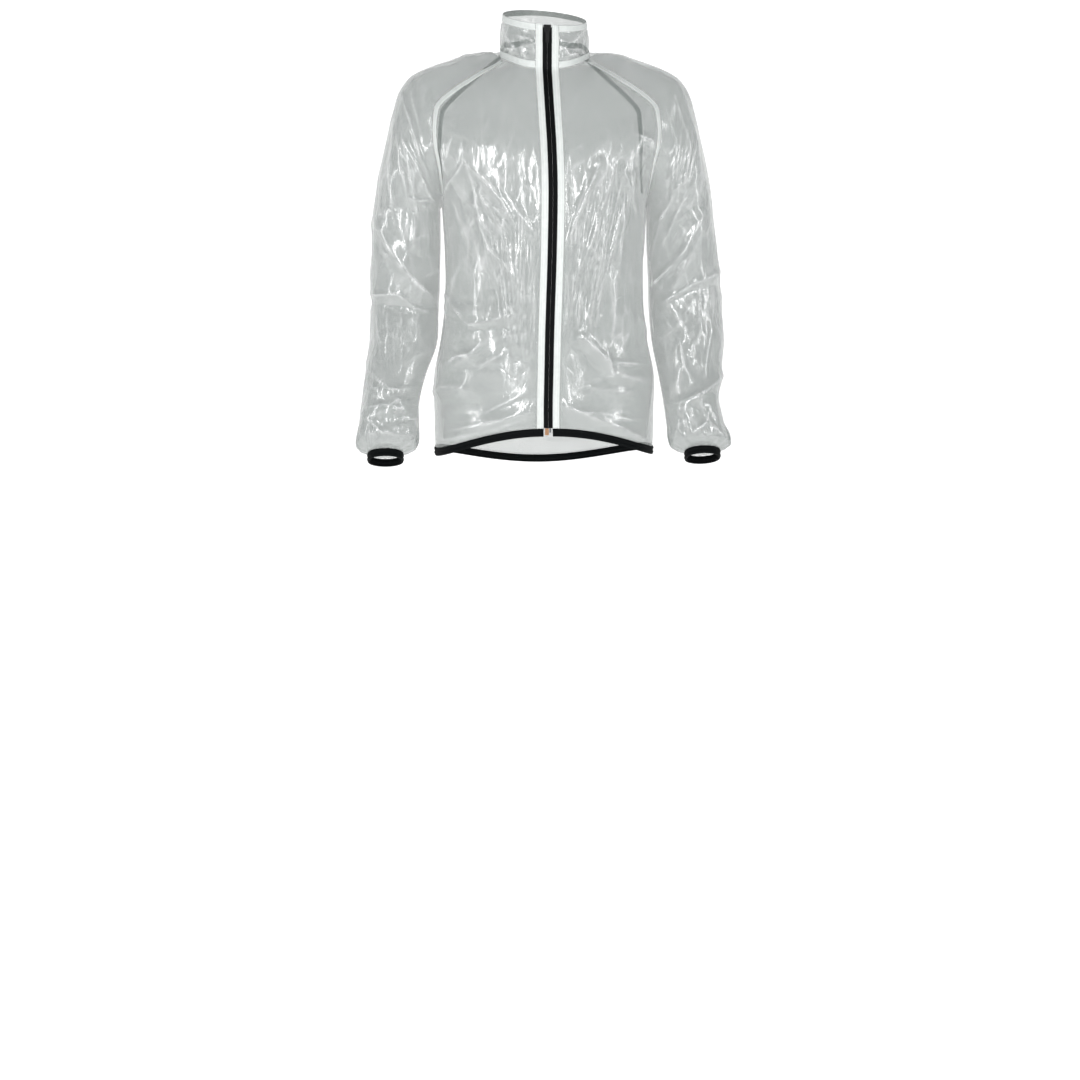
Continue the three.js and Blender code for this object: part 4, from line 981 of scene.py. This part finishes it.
def stitched(panel, name, made, columns, stitch):
    """Stitches on a panel's strip, along some of its columns."""
    lines = [made[:, column].copy() for column in columns]
    for line in lines:
        line[:, :3] += line[:, 3:] * (TAPE_FACE + STITCH_OUT)
    on[panel].append(threads(name, lines, material=white_thread, slot="white_tape", **stitch))


PANELS = ["front_right", "front_left", "back", "collar", "sleeve_right", "sleeve_left"]
on = {panel: [] for panel in PANELS}
TAPE_STITCH = {"pitch": 0.0024, "length": 0.0019, "thick": 0.0004, "slant": 0.0}
BELOW_NECK = 0.012  # where the tapes start and end down a panel
RAGLAN_END = 0.88
TAPE_COLUMNS = 9
BOTH_EDGES = (1, TAPE_COLUMNS - 2)
MIDDLE = TAPE_COLUMNS // 2
raglan_rows = np.where((torso_at > BELOW_NECK) & (torso_at < RAGLAN_END))[0]
for panel, sheet, name, from_end in [
    ("front_right", fronts["front_right"], "raglan_tape_front_right", True),
    ("front_left", fronts["front_left"], "raglan_tape_front_left", True),
    ("back", back, "raglan_tape_back_right", False),
    ("back", back, "raglan_tape_back_left", True),
]:
    made = strip_of(sheet, raglan_rows, TAPE_INSET, RAGLAN_TAPE, TAPE_COLUMNS, from_end)
    white_strip(panel, name, made)
    stitched(panel, name + "_stitches", made, BOTH_EDGES, TAPE_STITCH)

ROUND_COLUMNS = 200
ROUND_PUCKER = 1.4 * PUCKER
NEAR = 0.001
for name, (low, high) in (("neck_tape", NECK_TAPE), ("collar_hem", COLLAR_HEM)):
    rows = np.where((collar_share >= low - NEAR) & (collar_share <= high + NEAR))[0]
    ends = ZIP_BAND + SEAM_GAP
    made = strip_of(collar, rows, ends, -ends, ROUND_COLUMNS)
    white_strip("collar", name, made, ROUND_PUCKER)
    round_made = made.transpose(1, 0, 2)
    stitched("collar", name + "_stitches", round_made, (1, len(rows) - 2), TAPE_STITCH)

ABOVE_SEAM = 0.02
FROM_ZIP = 0.0001
collar_rows = np.where(collar_share > ABOVE_SEAM)[0]
front_rows = np.where(torso_at > BELOW_NECK)[0]
ZIGZAG = {"pitch": 0.0016, "length": 0.0034, "thick": 0.00042, "slant": math.radians(62)}
for side, from_end in (("right", False), ("left", True)):
    panel, name = "front_" + side, "zip_band_" + side
    across = (FROM_ZIP, ZIP_BAND - SEAM_GAP, TAPE_COLUMNS)
    made = np.concatenate([strip_of(collar, collar_rows, *across, from_end),
                           strip_of(fronts[panel], front_rows, *across)])
    white_strip(panel, name, made)
    stitched(panel, name + "_topstitch", made, BOTH_EDGES, TAPE_STITCH)
    stitched(panel, name + "_zigzag", made, [MIDDLE], ZIGZAG)

# The zip: two black woven tapes that meet over a nylon coil, which lies behind them, so that the
# front shows two smooth raised rails with a line between them.
ZIP_TAPE = 0.001
ZIP_STOP = 0.0035
COIL_HALF = 0.0022
COIL = 0.0016
COIL_PITCH = 0.0013
COIL_WIRE = 0.0011
RAIL = 0.0005
RAIL_HALF = 0.0029
ZIP_ROWS = 260
ZIP_COLUMNS = 16
TWILL = 0.004
NYLON_GRAIN = 0.0008
BLACK_WOVEN = {"Base Color": linear("#08090a"), "Roughness": 0.6, "Specular IOR Level": 0.08}
black_tape, tree, shader, place = new_material("black woven zip tape", BLACK_WOVEN)
twill = node(tree, "ShaderNodeTexWave", {"Scale": 1 / TWILL, "bands_direction": "DIAGONAL"},
             {"Vector": place})
bump = node(tree, "ShaderNodeBump", {"Strength": 0.3, "Distance": 0.0002},
            {"Height": twill.outputs["Fac"]})
tree.links.new(bump.outputs[0], shader.inputs["Normal"])

NYLON_LOOK = {"Base Color": linear("#0d0e10"), "Roughness": 0.3}
nylon, tree, shader, place = new_material("black nylon coil", NYLON_LOOK)
grain = node(tree, "ShaderNodeTexNoise", {"Scale": 1 / NYLON_GRAIN}, {"Vector": place})
bump = node(tree, "ShaderNodeBump", {"Strength": 0.1, "Distance": 0.0001},
            {"Height": grain.outputs["Fac"]})
tree.links.new(bump.outputs[0], shader.inputs["Normal"])

collar_ends = collar["base"][collar["index"][collar_rows]][:, [0, -1]].mean(axis=1)
front_ends = sum(sheet["base"][sheet["index"][front_rows, 0]] for sheet in fronts.values()) / 2
middle = np.concatenate([collar_ends, front_ends])
run = run_along(middle)
middle = picked(middle, run, np.linspace(ZIP_STOP, run[-1], ZIP_ROWS))
direction = np.gradient(middle, axis=0)
zip_out = np.cross([1, 0, 0], -direction)
zip_out /= np.linalg.norm(zip_out, axis=1)[:, None]
for side, sign in (("right", -1), ("left", 1)):
    x = np.linspace(SEAM_GAP / 2, ZIP_HALF, ZIP_COLUMNS)
    made = np.zeros((len(middle), len(x), 6))
    made[:, :, :3] = middle[:, None, :]
    made[:, :, 0] += sign * x
    made[:, :, 3:] = zip_out[:, None, :]
    rail = RAIL * np.sin(np.pi * np.clip(x / RAIL_HALF, 0, 1)) ** 0.7
    name = "zip_tape_" + side
    on["front_" + side].append(strip_piece(name + "_woven", made, rail[None, :], ZIP_TAPE,
                                           black_tape, [name]))
coil_line = np.concatenate([middle - zip_out * (ZIP_TAPE + SEAM_GAP + COIL / 2), zip_out], axis=1)
threads("zip_coil_turns", [coil_line], COIL_PITCH, 2 * COIL_HALF, COIL_WIRE, math.radians(82),
        nylon, "coil", ["zip_coil"])

# The zip's slider and its pull tab are cast and painted black, its box is bare brass and its pin
# darker steel. Their edges are rounded a little, as cast and tumbled parts are.
EDGE = 0.00018
WEAR = 0.003
SAME_POINT = 0.00001


def hard_material(name, colour, rough, metal):
    """A hard finish with faint wear: its roughness varies over a few millimetres."""
    look = {"Base Color": linear(colour), "Metallic": metal, "Specular IOR Level": 0.2}
    material, tree, shader, place = new_material(name, look)
    wear_and_painted_crease_light = node(tree, "ShaderNodeTexNoise", {"Scale": 1 / WEAR, "Detail": 4}, {"Vector": place})
    span = node(tree, "ShaderNodeMapRange", {"To Min": rough * 0.7, "To Max": rough * 1.4},
                {"Value": wear_and_painted_crease_light.outputs["Fac"]})
    tree.links.new(span.outputs[0], shader.inputs["Roughness"])
    return material


painted = hard_material("black painted zinc", "#060708", 0.4, 0.0)
brass = hard_material("worn brass", "#c79a78", 0.3, 1.0)
steel = hard_material("dark steel", "#77787a", 0.35, 1.0)
for name, body, material, slot in [
    ("zip_slider", "jacket", painted, "black_metal"),
    ("zip_pull", "pull", painted, "black_metal"),
    ("zip_box", "jacket", brass, "brass"),
    ("zip_pin", "jacket", steel, "steel"),
]:
    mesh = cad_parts[name].data.copy()
    work = bmesh.new()
    work.from_mesh(mesh)
    bmesh.ops.transform(work, matrix=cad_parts[name].matrix_world, verts=work.verts)
    bmesh.ops.remove_doubles(work, verts=work.verts, dist=SAME_POINT)
    bmesh.ops.recalc_face_normals(work, faces=work.faces)
    work.to_mesh(mesh)
    work.free()
    mesh.materials.clear()
    mesh.materials.append(material)
    piece = put(name + "_cast", mesh)
    edges = piece.modifiers.new("rounded edges", "BEVEL")
    edges.width = EDGE
    edges.segments = 2
    edges.limit_method = "ANGLE"
    declared(piece, [name], body)

# Black knitted elastic binds the hem and the cuffs. It has two ridges along it with a groove
# between them, and it puckers a little where it was sewn on stretched.
BINDING = 0.012
BINDING_THICK = 0.0024
BINDING_STEPS = 15
HEM_COLUMNS = 640
CUFF_COLUMNS = 150
RING_SPOTS = 80
RIDGE_LEVEL, RIDGE = 0.0009, 0.0005
PUCKER_LONG, PUCKER_DEEP = 0.0052, 0.00022
KNIT_RIB = 0.0045
ELASTIC_LOOK = {"Base Color": linear("#090c0d"), "Roughness": 0.75, "Specular IOR Level": 0.08}
elastic, tree, shader, place = new_material("black knitted elastic", ELASTIC_LOOK)
along = place.node.outputs["UV"]
knit = node(tree, "ShaderNodeTexWave", {"Scale": 1 / KNIT_RIB, "bands_direction": "X"},
            {"Vector": along})
loops = node(tree, "ShaderNodeTexVoronoi", {"Scale": 1 / WEAVE}, {"Vector": along})
coarse = node(tree, "ShaderNodeBump", {"Strength": 0.5, "Distance": 0.0003},
              {"Height": knit.outputs["Fac"]})
bump = node(tree, "ShaderNodeBump", {"Strength": 0.4, "Distance": 0.0002},
            {"Height": loops.outputs["Distance"], "Normal": coarse.outputs[0]})
tree.links.new(bump.outputs[0], shader.inputs["Normal"])


def binding_piece(name, edge, direction, columns, closed, replaced):
    """An elastic band along an edge of points and normals, hanging from it in one direction."""
    run = run_along(edge[:, :3])
    spots = np.linspace(0, run[-1], columns)
    line = picked(edge, run, spots)
    line[:, 3:] -= (line[:, 3:] @ direction)[:, None] * direction
    line[:, 3:] /= np.linalg.norm(line[:, 3:], axis=1)[:, None]
    if closed:
        line[-1] = line[0]
    share = np.linspace(0, 1, BINDING_STEPS)
    made = np.repeat(line[None], BINDING_STEPS, axis=0)
    made[:, :, :3] += (SEAM_GAP + share * (BINDING - SEAM_GAP))[:, None, None] * direction
    ridges = RIDGE_LEVEL - RIDGE * np.cos(4 * np.pi * share)
    beat = 2 * np.pi * np.round(run[-1] / PUCKER_LONG) * spots / run[-1]
    pucker = PUCKER_DEEP * np.sin(beat + 0.8 * np.sin(2 * np.pi * 5 * spots / run[-1]))
    outside = ridges[:, None] + pucker[None, :] * (1.2 - share[:, None])
    return strip_piece(name, made, outside, BINDING_THICK, elastic, replaced)


hem_edge = np.concatenate([
    row_of(fronts["front_right"], -1),
    row_of(back, -1),
    row_of(fronts["front_left"], -1)[::-1],
])
DOWN = np.array([0, 0, -1.0])
on["back"].append(binding_piece("hem_binding_knit", hem_edge, DOWN, HEM_COLUMNS, False,
                                ["hem_binding"]))
CUFF_FIT = 0.0005
WRIST = 1.86
for name, side in (("right", -1), ("left", 1)):
    near, far = sleeve_ribs(ARMS[name], side, np.array([2.0]), np.linspace(0, 1, RING_SPOTS))
    ring = np.concatenate([near[0], far[0, -2::-1]])
    end, wrist = (np.array([smooth(ARMS[name], n, at) for n in "xyz"]) for at in (2.0, WRIST))
    out = ring - end
    out /= np.linalg.norm(out, axis=1)[:, None]
    direction = (end - wrist) * [0, 1, 1]
    direction /= np.linalg.norm(direction)
    edge = np.concatenate([ring - out * CUFF_FIT, out], axis=1)
    bound = "cuff_binding_" + name
    on["sleeve_" + name].append(binding_piece(bound + "_knit", edge, direction, CUFF_COLUMNS, True,
                                              [bound]))

# Floor and backdrop are one sweep of pale paper, lit so evenly that it is nearly white, in a soft
# grey room. Two tall narrow lamps in front and one at each side are what the glossy film mirrors.
FLOOR = -1.45
SWEEP_FRONT, SWEEP_BACK, SWEEP_TURN, SWEEP_TOP, SWEEP_SIDE = -4.0, 2.6, 1.2, 3.2, 5.0
bend = np.linspace(0, math.pi / 2, 24)
profile = [(SWEEP_FRONT, FLOOR)]
profile += [(SWEEP_BACK - SWEEP_TURN * (1 - math.sin(a)), FLOOR + SWEEP_TURN * (1 - math.cos(a)))
            for a in bend]
profile += [(SWEEP_BACK, SWEEP_TOP)]
sweep = bpy.data.meshes.new("sweep")
sweep.from_pydata([(x, y, z) for y, z in profile for x in (-SWEEP_SIDE, SWEEP_SIDE)], [],
                  [(2 * i, 2 * i + 1, 2 * i + 3, 2 * i + 2) for i in range(len(profile) - 1)])
sweep.polygons.foreach_set("use_smooth", [True] * len(sweep.polygons))
PAPER_LOOK = {
    "Base Color": linear("#e6e6e5"),
    "Roughness": 1.0,
    "Specular IOR Level": 0.0,
    "Emission Color": (1, 1, 1, 1),
    "Emission Strength": 0.7,
}
sweep.materials.append(new_material("matt white paper", PAPER_LOOK)[0])
floor = put("paper sweep", sweep)

world = bpy.data.worlds.new("grey room")
world.use_nodes = True
room = world.node_tree.nodes["Background"].inputs
room["Color"].default_value = linear("#c9cdd1")
room["Strength"].default_value = 0.32
bpy.context.scene.world = world
bpy.context.scene.view_settings.view_transform = "Standard"

LAMPS = table("name x y z wide high power", [
    ("key", -0.6, -2.2, 0.1, 0.16, 1.15, 23),
    ("second", 0.75, -2.4, 0.08, 0.12, 1.1, 12),
    ("strip left", -1.7, -0.9, 0.0, 0.15, 1.3, 9),
    ("strip right", 1.7, -0.9, 0.0, 0.15, 1.3, 9),
])
AIM = mathutils.Vector((0, 0, -0.27))
for row in LAMPS:
    lamp = bpy.data.lights.new(row["name"], "AREA")
    lamp.shape = "RECTANGLE"
    lamp.size, lamp.size_y = row["wide"], row["high"]
    lamp.energy = row["power"]
    holder = put(row["name"], lamp)
    holder.location = (row["x"], row["y"], row["z"])
    holder.rotation_euler = (AIM - holder.location).to_track_quat("-Z", "Y").to_euler()

# The camera stands where the photograph was taken from: at chest height, 2.8 m away and turned a
# little to the jacket's right, looking down so that the jacket fills the upper part of the frame.
PICTURE = 1080
FOCAL_PIXELS = 1914
DISTANCE = 2.8
EYE_HEIGHT = -0.135
PITCH = math.radians(11.4)
TURN = math.radians(3.3)
ASIDE_PIXELS = 4
level = mathutils.Vector((math.sin(TURN), math.cos(TURN), 0))
sideways = mathutils.Vector((math.cos(TURN), -math.sin(TURN), 0))
sight = level * math.cos(PITCH) - mathutils.Vector((0, 0, math.sin(PITCH)))
lens = bpy.data.cameras.new("camera")
lens.lens = lens.sensor_width * FOCAL_PIXELS / PICTURE
camera = put("camera", lens)
aside = sideways * (ASIDE_PIXELS * DISTANCE / FOCAL_PIXELS)
camera.location = mathutils.Vector((0, 0, EYE_HEIGHT)) - level * DISTANCE - aside
camera.rotation_euler = sight.to_track_quat("-Z", "Y").to_euler()
bpy.context.scene.camera = camera
